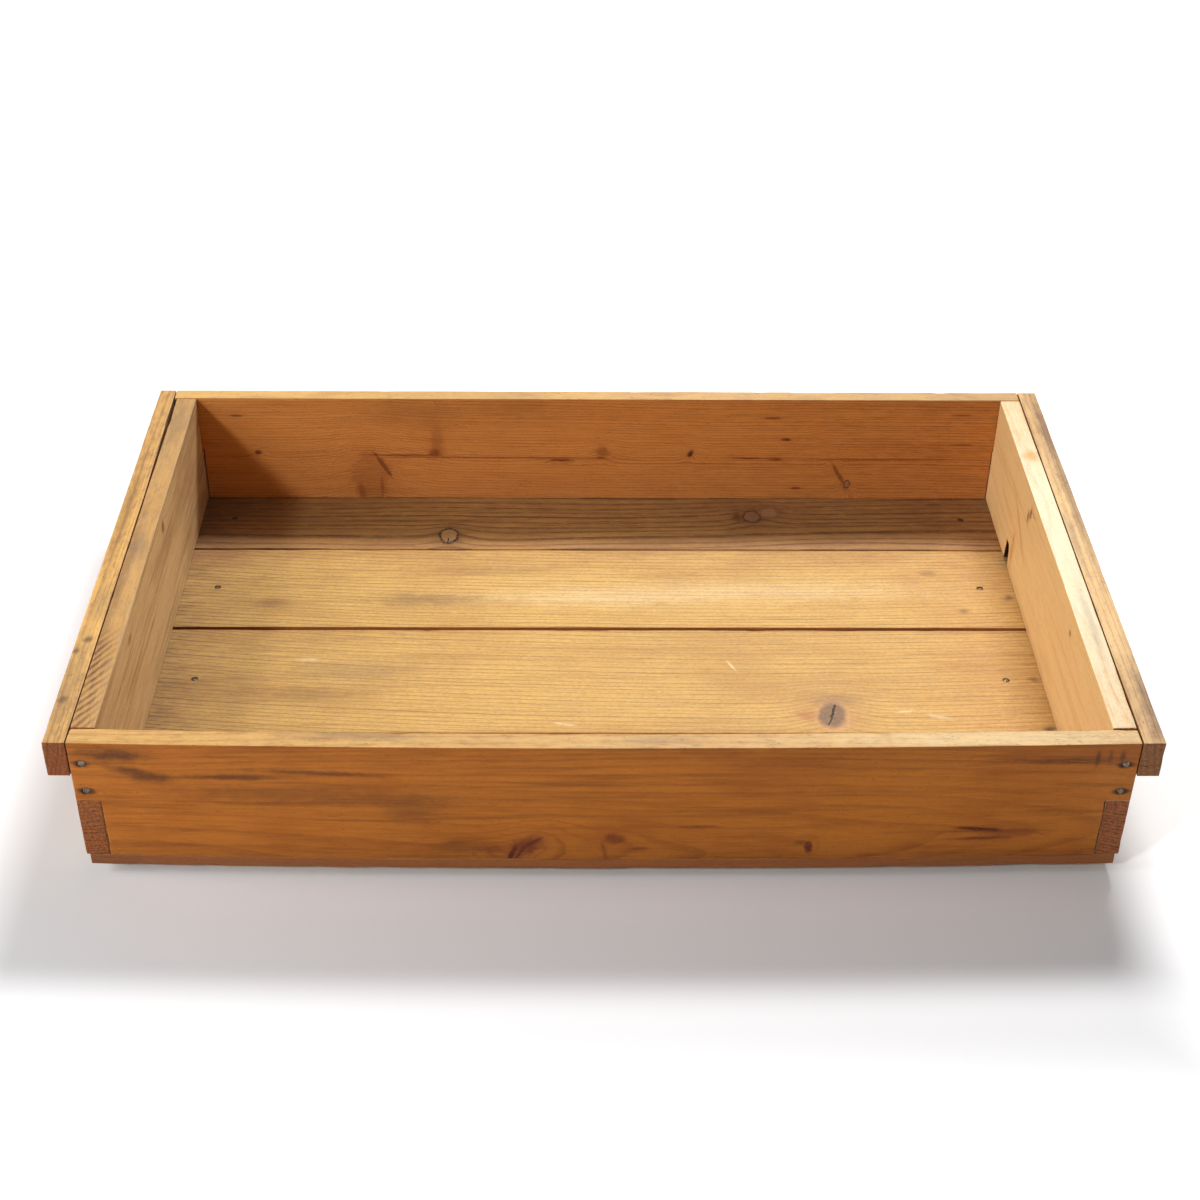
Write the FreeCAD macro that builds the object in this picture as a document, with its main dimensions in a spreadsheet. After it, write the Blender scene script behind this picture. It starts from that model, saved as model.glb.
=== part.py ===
import FreeCAD, Part
import os
import Sketcher

# An open, shallow carrying tray made of softwood boards. Four walls meet in nailed
# two-finger corner joints, four lengthwise planks are nailed up under them as the floor,
# a handle batten is nailed along the rim of each side, and two cross battens under the
# floor tie the planks together and drop inside the rim of the tray below in a stack.
#
# Frame: X along the length, +Y to the back, +Z up. The origin is the centre of the
# footprint, on the surface that the tray stands on.

SIZES = [
    ("length", 606, "front and back boards, end to end"),
    ("depth", 394, "front face to back face, at the corners"),
    ("wall_height", 85, "front, back and side boards, from the floor planks to the rim"),
    ("front_thickness", 13, "front board"),
    ("back_thickness", 11.5, "back board"),
    ("side_thickness", 14, "side boards"),
    ("front_bow", 4.5, "how far the front board bows outward at mid-length"),
    ("finger_height", 41.5, "lower finger of each side board"),
    ("joint_gap", 0.3, "clearance round the fingers"),
    ("rim_round", 0.8, "worn rounding of the rim and the outer corners"),
    ("plank_thickness", 7.5, "floor planks"),
    ("plank_end_inset", 2, "plank ends, in from the outer faces of the side boards"),
    ("front_seam", 110.5, "first seam between planks, from the front face"),
    ("middle_seam", 221, "second seam, from the front face"),
    ("rear_seam", 315.5, "third seam, from the front face"),
    ("tight_seam_gap", 1.4, "width of the first and third seams"),
    ("open_seam_gap", 2.8, "width of the second seam"),
    ("foot_thickness", 7, "cross battens under the floor"),
    ("foot_width", 30, "cross battens under the floor"),
    ("nesting_clearance", 8, "cross battens, in from the inner faces of the walls"),
    ("handle_thickness", 13, "handle battens"),
    ("handle_height", 24.5, "handle battens"),
    ("handle_gap", 0.4, "between a handle batten and its side board"),
    ("handle_lift", 1.8, "extra gap at the rear end of the left handle batten"),
    ("handle_lift_run", 140, "stretch over which that gap opens"),
    ("handle_round", 1.5, "rounding of the outer edges of the handle battens"),
    ("break_middle", 300.75, "place broken out of the right side board, from the front face"),
    ("break_width", 15, "broken place, along the planks"),
    ("break_top_width", 6.5, "broken place, along its top"),
    ("break_height", 18, "broken place, up from the planks"),
    ("break_depth", 5, "broken place, into the board's inner face"),
    ("nail_shank", 2, "nail diameter"),
    ("nail_head", 4.5, "nail head diameter"),
    ("brad_shank", 1.6, "diameter of the short nails in the cross battens"),
    ("brad_head", 3.6, "head diameter of the short nails"),
    ("head_thickness", 0.8, "all nail heads"),
    ("point_length", 3, "all nail points"),
    ("point_width", 0.4, "blunt end of a nail point"),
    ("head_sink", 0.2, "nail heads, below the face of the wood"),
    ("nail_fit", 0.05, "clearance round a nail"),
    ("tip_clearance", 0.5, "depth left beyond a nail's point"),
    ("corner_nail_length", 32, "nails of the corner joints"),
    ("plank_nail_length", 28, "nails through the planks into the walls"),
    ("handle_nail_cover", 3.5, "wood left between a handle nail and the side's inner face"),
    ("brad_cover", 1.3, "wood left under a short nail in a cross batten"),
    ("corner_nail_low", 7.5, "lower nail of an upper finger, above the finger's foot"),
    ("corner_nail_high", 15.5, "upper nail of an upper finger, below the rim"),
    ("finger_nail_low", 11, "lower nail of a lower finger, above the planks"),
    ("finger_nail_high", 30, "upper nail of a lower finger, above the planks"),
    ("plank_nail_margin", 18, "nails in a plank's end, in from the plank's long edges"),
    ("edge_nail_spacing", 120, "nails along the front and rear edges of the floor"),
    ("handle_nail_margin", 40, "first and last nail of a handle batten, from its ends"),
]
EDGE_NAILS_EACH_SIDE = 2
HANDLE_NAILS = 4
HEAD_SIDES = 12
SHANK_SIDES = 8
LEFT = -1
RIGHT = 1
EDGE_MATCH = 0.01

# Lines that several pieces share, as expressions over the sheet.
HALF_LENGTH = "(Sizes.length / 2)"
SIDE_INNER = "(Sizes.length / 2 - Sizes.side_thickness)"
SIDE_MIDDLE = "(Sizes.length / 2 - Sizes.side_thickness / 2)"
PLANK_END = "(Sizes.length / 2 - Sizes.plank_end_inset)"
FOOT_MIDDLE = f"({SIDE_INNER} - Sizes.nesting_clearance - Sizes.foot_width / 2)"
FRONT = "((Sizes.front_bow - Sizes.depth) / 2)"
BACK = "((Sizes.front_bow + Sizes.depth) / 2)"
BACK_INNER = "(Sizes.depth - Sizes.back_thickness)"
WALL_BASE = "(Sizes.foot_thickness + Sizes.plank_thickness)"
RIM = f"({WALL_BASE} + Sizes.wall_height)"
HANDLE_BASE = f"({RIM} - Sizes.handle_height)"
HANDLE_INNER = f"({HALF_LENGTH} + Sizes.handle_gap)"
HANDLE_OUTER = f"({HANDLE_INNER} + Sizes.handle_thickness)"
BOW_RADIUS = "((Sizes.length ^ 2 / 4 + Sizes.front_bow ^ 2) / (2 * Sizes.front_bow))"

# How far the hole for a nail's head is open above the head.
RECESS_RISE = "(Sizes.head_sink + Sizes.head_thickness)"

# The planks from front to back: name, front edge and rear edge, from the front face.
PLANKS = [
    ("floor_plank_front", "0", "(Sizes.front_seam - Sizes.tight_seam_gap / 2)"),
    ("floor_plank_middle_front", "(Sizes.front_seam + Sizes.tight_seam_gap / 2)",
     "(Sizes.middle_seam - Sizes.open_seam_gap / 2)"),
    ("floor_plank_middle_rear", "(Sizes.middle_seam + Sizes.open_seam_gap / 2)",
     "(Sizes.rear_seam - Sizes.tight_seam_gap / 2)"),
    ("floor_plank_rear", "(Sizes.rear_seam + Sizes.tight_seam_gap / 2)", "Sizes.depth"),
]

# Turns that point a nail, drawn head up, the way it is driven.
TURN_DOWN = FreeCAD.Rotation()
TURN_UP = FreeCAD.Rotation(FreeCAD.Vector(1, 0, 0), 180)
TURN_BACK = FreeCAD.Rotation(FreeCAD.Vector(1, 0, 0), 90)
TURN_FORWARD = FreeCAD.Rotation(FreeCAD.Vector(1, 0, 0), -90)
TURN_INWARD = {
    LEFT: FreeCAD.Rotation(FreeCAD.Vector(0, 1, 0), -90),
    RIGHT: FreeCAD.Rotation(FreeCAD.Vector(0, 1, 0), 90),
}

doc = FreeCAD.newDocument("Tray")
blanks = {}
bores = {}
nodes = []


def make_sheet():
    """The driving dimensions, each a plain number with an alias."""
    sheet = doc.addObject("Spreadsheet::Sheet", "Sizes")
    for row, (alias, value, meaning) in enumerate(SIZES, start=1):
        sheet.set(f"A{row}", alias)
        sheet.set(f"B{row}", str(value))
        sheet.set(f"C{row}", meaning)
        sheet.setAlias(f"B{row}", alias)
    doc.recompute()
    return sheet


sheet = make_sheet()


# ---------------------------------------------------------------- shared helpers

def evaluate(expression):
    """The number that an expression over the sheet stands for."""
    return float(sheet.evalExpression(expression))


def signed(side, expression):
    """An x on the left or right of the middle."""
    return f"({side} * {expression})"


def bow_at(x):
    """How far the bowed front face stands out at x, beyond its corners."""
    return f"(sqrt({BOW_RADIUS} ^ 2 - {x} ^ 2) - sqrt({BOW_RADIUS} ^ 2 - {HALF_LENGTH} ^ 2))"


def new_blank(label, x="0", y="0", z="0"):
    """The body of one piece of wood before it is nailed, placed in the tray."""
    body = doc.addObject("PartDesign::Body", f"{label}_blank")
    for axis, place in zip("xyz", (x, y, z)):
        body.setExpression(f"Placement.Base.{axis}", place)
    blanks[label] = body
    bores[label] = []
    return body


def new_sketch(body, plane, offset="0"):
    """A sketch on one of the body's own origin planes, moved along that plane's normal."""
    sketch = body.newObject("Sketcher::SketchObject", f"{body.Label}_sketch")
    support = next(item for item in body.Origin.OriginFeatures if item.Role == plane)
    sketch.AttachmentSupport = (support, "")
    sketch.MapMode = "FlatFace"
    sketch.setExpression("AttachmentOffset.Base.z", offset)
    return sketch


def pin(sketch, geometry, point, x, y):
    """Hold a point of the sketch at x, y."""
    for kind, place in (("DistanceX", x), ("DistanceY", y)):
        constraint = Sketcher.Constraint(kind, -1, 1, geometry, point, evaluate(place))
        index = sketch.addConstraint(constraint)
        sketch.setExpression(f"Constraints[{index}]", place)


def front_arc(left, right):
    """An arc that bulges to the front with the radius of the bow."""
    radius = evaluate(BOW_RADIUS)
    half_chord = (right.x - left.x) / 2
    rise = radius - (radius ** 2 - half_chord ** 2) ** 0.5
    middle = (left + right) / 2 - FreeCAD.Vector(0, rise, 0)
    return Part.ArcOfCircle(left, middle, right)


def draw_outline(sketch, corners, arcs=()):
    """Add a closed outline. The sides listed in arcs follow the front board's bow."""
    points = [FreeCAD.Vector(evaluate(x), evaluate(y), 0) for x, y in corners]
    base = sketch.GeometryCount
    ends = []
    for index, start in enumerate(points):
        stop = points[(index + 1) % len(points)]
        leftward = stop.x < start.x
        if index in arcs:
            sketch.addGeometry(front_arc(stop, start) if leftward else front_arc(start, stop))
            ends.append((2, 1) if leftward else (1, 2))
        else:
            sketch.addGeometry(Part.LineSegment(start, stop))
            ends.append((1, 2))
    for index, (first, last) in enumerate(ends):
        following = (index + 1) % len(ends)
        corner = (base + index, last, base + following, ends[following][0])
        sketch.addConstraint(Sketcher.Constraint("Coincident", *corner))
        pin(sketch, base + index, first, *corners[index])
    for index in arcs:
        bend = Sketcher.Constraint("Radius", base + index, evaluate(BOW_RADIUS))
        number = sketch.addConstraint(bend)
        sketch.setExpression(f"Constraints[{number}]", BOW_RADIUS)


def pad(body, sketch, length, reverse=False):
    """Raise the sketch into a board."""
    feature = body.newObject("PartDesign::Pad", f"{body.Label}_pad")
    feature.Profile = sketch
    feature.Reversed = reverse
    feature.setExpression("Length", length)
    sketch.Visibility = False
    doc.recompute()


def finish_cut(body, feature, volume_before):
    """Make the feature the body's last, and stop if it took no wood away."""
    body.Tip = feature
    doc.recompute()
    if not body.Shape.Volume < volume_before:
        raise RuntimeError(f"{feature.Name} cuts nothing")


def round_edges(body, radius, wanted):
    """Round the edges whose end points all pass the test."""
    volume = body.Shape.Volume
    base = body.Tip
    names = [f"Edge{number}" for number, edge in enumerate(base.Shape.Edges, start=1)
             if all(wanted(vertex.Point) for vertex in edge.Vertexes)]
    feature = body.newObject("PartDesign::Fillet", f"{body.Label}_fillet")
    feature.Base = (base, names)
    feature.setExpression("Radius", radius)
    finish_cut(body, feature, volume)


def round_rim(body):
    """Round the worn edges round a wall's top."""
    top = evaluate("Sizes.wall_height")
    round_edges(body, "Sizes.rim_round", lambda point: abs(point.z - top) < EDGE_MATCH)


# ---------------------------------------------------------------- where the nails go

# Heights above the foot of the walls.
CORNER_HEIGHTS = ["(Sizes.finger_height + Sizes.joint_gap + Sizes.corner_nail_low)",
                  "(Sizes.wall_height - Sizes.corner_nail_high)"]
FINGER_HEIGHTS = ["Sizes.finger_nail_low", "Sizes.finger_nail_high"]
HANDLE_MIDDLE = "(Sizes.wall_height - Sizes.handle_height / 2)"

# Places along Y, from the front face.
FRONT_BOARD_MIDDLE = "(Sizes.front_thickness / 2)"
BACK_BOARD_MIDDLE = "(Sizes.depth - Sizes.back_thickness / 2)"


def plank_end_rows(front_edge, rear_edge):
    """The two places across a plank where each end is nailed to the side board."""
    return [f"({front_edge} + Sizes.plank_nail_margin)",
            f"({rear_edge} - Sizes.plank_nail_margin)"]


def plank_middle(front_edge, rear_edge):
    """The middle of a plank's width, where it is nailed to the cross battens."""
    return f"(({front_edge} + {rear_edge}) / 2)"


def edge_columns():
    """Nails along the floor's front and rear edges, out from the middle."""
    steps = range(-EDGE_NAILS_EACH_SIDE, EDGE_NAILS_EACH_SIDE + 1)
    return [f"({step} * Sizes.edge_nail_spacing)" for step in steps]


def handle_rows():
    """Evenly spaced nails along a handle batten."""
    pitch = f"(Sizes.depth - 2 * Sizes.handle_nail_margin) / {HANDLE_NAILS - 1}"
    return [f"(Sizes.handle_nail_margin + {step} * {pitch})" for step in range(HANDLE_NAILS)]


# ---------------------------------------------------------------- walls

UPPER_FINGER = "(Sizes.finger_height + Sizes.joint_gap)"
NOTCH_SIDE = f"({SIDE_INNER} - Sizes.joint_gap)"


def make_front_board():
    """The bowed front board, whose upper fingers cover the side boards' ends."""
    body = new_blank("front_board", y=FRONT, z=WALL_BASE)
    sketch = new_sketch(body, "XY_Plane")
    left_end = signed(LEFT, HALF_LENGTH)
    draw_outline(sketch, [(left_end, "0"), (HALF_LENGTH, "0"),
                          (HALF_LENGTH, "Sizes.front_thickness"),
                          (left_end, "Sizes.front_thickness")], arcs=(0, 2))
    pad(body, sketch, "Sizes.wall_height")
    round_rim(body)

    volume = body.Shape.Volume
    notches = new_sketch(body, "XZ_Plane", "Sizes.front_bow")
    for side in (LEFT, RIGHT):
        near = signed(side, NOTCH_SIDE)
        far = signed(side, HALF_LENGTH)
        draw_outline(notches, [(near, "0"), (far, "0"),
                               (far, UPPER_FINGER), (near, UPPER_FINGER)])
    cut = body.newObject("PartDesign::Pocket", "front_board_notches")
    cut.Profile = notches
    cut.Type = "ThroughAll"
    notches.Visibility = False
    finish_cut(body, cut, volume)


def make_back_board():
    """The flat back board, with the same fingers. Its outer face is at its own y of 0."""
    body = new_blank("back_board", y=BACK, z=WALL_BASE)
    sketch = new_sketch(body, "XZ_Plane")
    right_half = [(NOTCH_SIDE, "0"), (NOTCH_SIDE, UPPER_FINGER),
                  (HALF_LENGTH, UPPER_FINGER), (HALF_LENGTH, "Sizes.wall_height")]
    left_half = [(signed(LEFT, x), z) for x, z in reversed(right_half)]
    draw_outline(sketch, right_half + left_half)
    pad(body, sketch, "Sizes.back_thickness")
    round_rim(body)


def make_side_board(label, side):
    """A side board, whose lower fingers reach the tray's front and back faces.

    Its outer face is at its own x of 0.
    """
    body = new_blank(label, x=signed(side, HALF_LENGTH), y=FRONT, z=WALL_BASE)
    sketch = new_sketch(body, "YZ_Plane")
    front_shoulder = "(Sizes.front_thickness + Sizes.joint_gap)"
    back_shoulder = f"({BACK_INNER} - Sizes.joint_gap)"
    draw_outline(sketch, [("0", "0"), ("Sizes.depth", "0"),
                          ("Sizes.depth", "Sizes.finger_height"),
                          (back_shoulder, "Sizes.finger_height"),
                          (back_shoulder, "Sizes.wall_height"),
                          (front_shoulder, "Sizes.wall_height"),
                          (front_shoulder, "Sizes.finger_height"),
                          ("0", "Sizes.finger_height")])
    pad(body, sketch, "Sizes.side_thickness", reverse=(side == RIGHT))
    round_rim(body)


def break_out(body):
    """The notch where wood has broken out at the foot of a side board's inner face."""
    volume = body.Shape.Volume
    outline = new_sketch(body, "YZ_Plane", "-Sizes.side_thickness")
    foot = "(Sizes.break_width / 2)"
    top = "(Sizes.break_top_width / 2)"
    draw_outline(outline, [(f"(Sizes.break_middle - {foot})", "0"),
                           (f"(Sizes.break_middle + {foot})", "0"),
                           (f"(Sizes.break_middle + {top})", "Sizes.break_height"),
                           (f"(Sizes.break_middle - {top})", "Sizes.break_height")])
    cut = body.newObject("PartDesign::Pocket", f"{body.Label}_break")
    cut.Profile = outline
    cut.Reversed = True
    cut.setExpression("Length", "Sizes.break_depth")
    outline.Visibility = False
    finish_cut(body, cut, volume)


# ---------------------------------------------------------------- floor

def make_plank(label, front_edge, rear_edge):
    """A floor plank. The front edge of the first one follows the front board's bow."""
    body = new_blank(label, y=FRONT, z="Sizes.foot_thickness")
    sketch = new_sketch(body, "XY_Plane")
    is_front = label == PLANKS[0][0]
    front_line = f"(-{bow_at(PLANK_END)})" if is_front else front_edge
    left_end = signed(LEFT, PLANK_END)
    draw_outline(sketch, [(left_end, front_line), (PLANK_END, front_line),
                          (PLANK_END, rear_edge), (left_end, rear_edge)],
                 arcs=(0,) if is_front else ())
    pad(body, sketch, "Sizes.plank_thickness")


def make_foot(label, side):
    """A cross batten under the planks, short of the walls so that trays nest."""
    body = new_blank(label, x=signed(side, FOOT_MIDDLE), y=FRONT)
    sketch = new_sketch(body, "XY_Plane")
    front_end = "(Sizes.front_thickness + Sizes.nesting_clearance)"
    rear_end = f"({BACK_INNER} - Sizes.nesting_clearance)"
    half_width = "(Sizes.foot_width / 2)"
    draw_outline(sketch, [(f"(-{half_width})", front_end), (half_width, front_end),
                          (half_width, rear_end), (f"(-{half_width})", rear_end)])
    pad(body, sketch, "Sizes.foot_thickness")
    round_edges(body, "Sizes.rim_round", lambda point: abs(point.z) < EDGE_MATCH)


# ---------------------------------------------------------------- handle battens

def make_handle(label, side):
    """A batten along the rim, outside a side board. Its own x of 0 is the board's face.

    The rear end of the left one has drawn away from the board.
    """
    body = new_blank(label, x=signed(side, HALF_LENGTH), y=FRONT, z=HANDLE_BASE)
    sketch = new_sketch(body, "XY_Plane")
    inner = signed(side, "Sizes.handle_gap")
    outer = signed(side, "(Sizes.handle_gap + Sizes.handle_thickness)")
    corners = [(outer, "Sizes.depth"), (outer, "0"), (inner, "0")]
    if side == LEFT:
        lifted = signed(side, "(Sizes.handle_gap + Sizes.handle_lift)")
        corners += [(inner, "(Sizes.depth - Sizes.handle_lift_run)"), (lifted, "Sizes.depth")]
    else:
        corners += [(inner, "Sizes.depth")]
    draw_outline(sketch, corners)
    pad(body, sketch, "Sizes.handle_height")
    outer_x = evaluate(outer)
    round_edges(body, "Sizes.handle_round", lambda point: abs(point.x - outer_x) < EDGE_MATCH)


# ---------------------------------------------------------------- nails

def make_prism(name, sides, width, foot, top):
    """An upright prism whose corners lie on a circle of the given width."""
    prism = doc.addObject("Part::Prism", name)
    prism.Polygon = sides
    prism.setExpression("Circumradius", f"{width} / 2")
    prism.setExpression("Height", f"{top} - {foot}")
    prism.setExpression("Placement.Base.z", foot)
    return prism


def make_point(name, width, foot, top):
    """A nail's point, tapering from the shank's width down to its blunt end."""
    rings = []
    for ring, size, height in (("wide", width, top), ("blunt", "Sizes.point_width", foot)):
        polygon = doc.addObject("Part::RegularPolygon", f"{name}_{ring}")
        polygon.Polygon = SHANK_SIDES
        polygon.setExpression("Circumradius", f"{size} / 2")
        polygon.setExpression("Placement.Base.z", height)
        rings.append(polygon)
    point = doc.addObject("Part::Loft", name)
    point.Sections = rings
    point.Solid = True
    point.Ruled = True
    return point


def fuse(name, shapes):
    """One solid from several."""
    solid = doc.addObject("Part::MultiFuse", name)
    solid.Shapes = shapes
    return solid


def make_nail(name, shank, head, length):
    """A nail and the hole that it sits in, both head up with the head's top at z = 0."""
    neck = "(-Sizes.head_thickness)"
    shoulder = f"(-{length} + Sizes.point_length)"
    nail = fuse(name, [make_prism(f"{name}_head", HEAD_SIDES, head, neck, "0"),
                       make_prism(f"{name}_shank", SHANK_SIDES, shank, shoulder, neck),
                       make_point(f"{name}_point", shank, f"(-{length})", shoulder)])
    fit = "2 * Sizes.nail_fit"
    end = f"(-{length} - Sizes.tip_clearance)"
    bore = fuse(f"{name}_bore",
                [make_prism(f"{name}_recess", HEAD_SIDES, f"({head} + {fit})", neck, RECESS_RISE),
                 make_prism(f"{name}_hole", SHANK_SIDES, f"({shank} + {fit})", end, neck)])
    return nail, bore


def place_copy(name, shape, spot, turn):
    """A copy of a nail or bore, driven at the spot in the direction of the turn."""
    link = doc.addObject("App::Link", name)
    link.LinkedObject = shape
    link.Placement = FreeCAD.Placement(FreeCAD.Vector(), turn)
    for axis, place in zip("xyz", spot):
        link.setExpression(f"Placement.Base.{axis}", place)
    return link


def drive_nails(label, nail_and_bore, spots, turn, through):
    """One node of separate nails, and their holes in the pieces that they go through.

    A spot is the place of a head's outer face.
    """
    nail, bore = nail_and_bore
    nails = []
    for number, spot in enumerate(spots, start=1):
        nails.append(place_copy(f"{label}_{number}", nail, spot, turn))
        hole = place_copy(f"{label}_bore_{number}", bore, spot, turn)
        for piece in through:
            bores[piece].append(hole)
    group = doc.addObject("Part::Compound", label)
    group.Label = label
    group.Links = nails
    nodes.append(group)


def make_corner_nails():
    """Nails through the upper fingers, from front and back, and the lower, from the sides."""
    nail = make_nail("corner_nail", "Sizes.nail_shank", "Sizes.nail_head",
                     "Sizes.corner_nail_length")
    sides = ["left_side_board", "right_side_board"]
    front_y = f"({FRONT} - {bow_at(SIDE_MIDDLE)} + Sizes.head_sink)"
    back_y = f"({BACK} - Sizes.head_sink)"
    for label, y, turn, board in (("front_corner_nails", front_y, TURN_BACK, "front_board"),
                                  ("back_corner_nails", back_y, TURN_FORWARD, "back_board")):
        spots = [(signed(side, SIDE_MIDDLE), y, f"{WALL_BASE} + {height}")
                 for side in (LEFT, RIGHT) for height in CORNER_HEIGHTS]
        drive_nails(label, nail, spots, turn, [board] + sides)
    for label, side, board in (("left_finger_nails", LEFT, sides[0]),
                               ("right_finger_nails", RIGHT, sides[1])):
        x = signed(side, f"({HALF_LENGTH} - Sizes.head_sink)")
        spots = [(x, f"{FRONT} + {row}", f"{WALL_BASE} + {height}")
                 for row in (FRONT_BOARD_MIDDLE, BACK_BOARD_MIDDLE) for height in FINGER_HEIGHTS]
        drive_nails(label, nail, spots, TURN_INWARD[side], [board, "front_board", "back_board"])


def make_handle_nails():
    """Nails through the handle battens into the side boards."""
    length = "(Sizes.handle_thickness + Sizes.handle_gap + Sizes.side_thickness" \
             " - Sizes.head_sink - Sizes.handle_nail_cover)"
    nail = make_nail("handle_nail", "Sizes.nail_shank", "Sizes.nail_head", length)
    for name, side in (("left", LEFT), ("right", RIGHT)):
        x = signed(side, f"({HANDLE_OUTER} - Sizes.head_sink)")
        spots = [(x, f"{FRONT} + {row}", f"{WALL_BASE} + {HANDLE_MIDDLE}")
                 for row in handle_rows()]
        drive_nails(f"{name}_handle_nails", nail, spots, TURN_INWARD[side],
                    [f"{name}_handle_batten", f"{name}_side_board"])


def make_plank_nails():
    """Nails up through the planks into the bottom edges of the four walls."""
    nail = make_nail("plank_nail", "Sizes.nail_shank", "Sizes.nail_head",
                     "Sizes.plank_nail_length")
    z = "Sizes.foot_thickness + Sizes.head_sink"
    planks = [label for label, front_edge, rear_edge in PLANKS]
    end_rows = [row for label, front_edge, rear_edge in PLANKS
                for row in plank_end_rows(front_edge, rear_edge)]
    for name, side in (("left", LEFT), ("right", RIGHT)):
        spots = [(signed(side, SIDE_MIDDLE), f"{FRONT} + {row}", z) for row in end_rows]
        drive_nails(f"{name}_plank_nails", nail, spots, TURN_UP,
                    planks + [f"{name}_side_board"])
    front_spots = [(x, f"{FRONT} + {FRONT_BOARD_MIDDLE} - {bow_at(x)}", z)
                   for x in edge_columns()]
    rear_spots = [(x, f"{FRONT} + {BACK_BOARD_MIDDLE}", z) for x in edge_columns()]
    drive_nails("front_edge_nails", nail, front_spots, TURN_UP, [planks[0], "front_board"])
    drive_nails("rear_edge_nails", nail, rear_spots, TURN_UP, [planks[-1], "back_board"])


def make_foot_nails():
    """Short nails down through the middle of each plank into the cross battens."""
    length = "(Sizes.plank_thickness + Sizes.foot_thickness - Sizes.head_sink" \
             " - Sizes.brad_cover)"
    brad = make_nail("foot_nail", "Sizes.brad_shank", "Sizes.brad_head", length)
    planks = [label for label, front_edge, rear_edge in PLANKS]
    rows = [plank_middle(front_edge, rear_edge) for label, front_edge, rear_edge in PLANKS]
    for name, side in (("left", LEFT), ("right", RIGHT)):
        spots = [(signed(side, FOOT_MIDDLE), f"{FRONT} + {row}", f"{WALL_BASE} - Sizes.head_sink")
                 for row in rows]
        drive_nails(f"{name}_foot_nails", brad, spots, TURN_DOWN,
                    planks + [f"{name}_foot_batten"])


def drill_blanks():
    """Turn each blank into its finished piece by cutting away the nail holes."""
    for label, blank in blanks.items():
        tool = doc.addObject("Part::Compound", f"{label}_bores")
        tool.Links = bores[label]
        piece = doc.addObject("Part::Cut", label)
        piece.Label = label
        piece.Base = blank
        piece.Tool = tool
        nodes.append(piece)
    doc.recompute()
    for label, blank in blanks.items():
        if not doc.getObject(label).Shape.Volume < blank.Shape.Volume:
            raise RuntimeError(f"{label} has no nail holes")


# ---------------------------------------------------------------- the whole tray

def check_document():
    """Stop if any object failed, or if a node's shape is missing or broken."""
    doc.recompute()
    for item in doc.Objects:
        if "Invalid" in item.State or "Error" in item.State:
            raise RuntimeError(f"{item.Label} failed: {item.State}")
    for node in nodes:
        if node.Shape.isNull() or not node.Shape.isValid():
            raise RuntimeError(f"{node.Label} has no valid shape")


make_front_board()
make_back_board()
make_side_board("left_side_board", LEFT)
make_side_board("right_side_board", RIGHT)
break_out(blanks["right_side_board"])
for plank_name, plank_front, plank_rear in PLANKS:
    make_plank(plank_name, plank_front, plank_rear)
make_foot("left_foot_batten", LEFT)
make_foot("right_foot_batten", RIGHT)
make_handle("left_handle_batten", LEFT)
make_handle("right_handle_batten", RIGHT)
make_corner_nails()
make_handle_nails()
make_plank_nails()
make_foot_nails()
drill_blanks()
check_document()

os.makedirs("parts", exist_ok=True)
for node in nodes:
    node.Shape.exportStep(f"parts/{node.Label}.step")
    print(node.Label, len(node.Shape.Solids), round(node.Shape.Volume, 1))
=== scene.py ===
import math

import bmesh
import bpy
import numpy as np
from mathutils import Matrix, Vector


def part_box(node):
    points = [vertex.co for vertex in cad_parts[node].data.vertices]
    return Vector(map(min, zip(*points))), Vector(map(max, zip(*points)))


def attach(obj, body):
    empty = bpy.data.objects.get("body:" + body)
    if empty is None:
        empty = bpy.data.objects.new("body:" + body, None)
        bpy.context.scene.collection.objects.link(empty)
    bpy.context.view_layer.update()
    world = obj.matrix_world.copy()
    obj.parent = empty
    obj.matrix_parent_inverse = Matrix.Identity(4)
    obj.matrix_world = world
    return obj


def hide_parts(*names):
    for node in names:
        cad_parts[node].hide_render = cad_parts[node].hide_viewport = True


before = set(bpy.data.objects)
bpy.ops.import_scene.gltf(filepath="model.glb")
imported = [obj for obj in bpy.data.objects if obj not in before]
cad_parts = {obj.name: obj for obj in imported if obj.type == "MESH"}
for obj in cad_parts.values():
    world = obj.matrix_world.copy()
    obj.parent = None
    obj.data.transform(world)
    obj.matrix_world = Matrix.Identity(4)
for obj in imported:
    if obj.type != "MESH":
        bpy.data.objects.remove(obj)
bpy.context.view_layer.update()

# An open softwood stacking tray: nailed two-finger corners, four floor planks, a handle
# batten along the rim of each side and two cross battens below. Every board and nail of
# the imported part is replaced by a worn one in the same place. Lengths in the tables are
# in millimetres, in the part's own frame. Colours are sRGB, from 0 to 255.

MM = 0.001

WALL_FOOT = 14.5
RIM = 99.5
FINGER_TOP = 56.0
FINGER_GAP = 0.3
HALF_LENGTH = 303.0
SIDE_INNER = 289.0
FRONT = -194.75
BACK = 199.25
FRONT_INNER = -181.75
BACK_INNER = 187.75
PLANK_FOOT = 7.0
PLANK_END = 301.0
BOW = 4.45
HANDLE_FOOT = 75.0
HANDLE_GAP = 0.4
HANDLE_THICKNESS = 13.0
# The left handle batten is drawn off by this much at its rear end, over this length.
HANDLE_LIFT = 1.8
HANDLE_LIFT_RUN = 140.0
# The back board's left end stands out and holds the handle batten off.
BACK_END_PROUD = 1.75
END_GRIP = 4.2

FRONT_PLANK_REAR = -84.95
# The front and rear edge of each floor plank.
PLANKS = {
    "floor_plank_front": (FRONT, FRONT_PLANK_REAR),
    "floor_plank_middle_front": (-83.55, 24.85),
    "floor_plank_middle_rear": (27.65, 120.05),
    "floor_plank_rear": (121.45, BACK),
}
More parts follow.
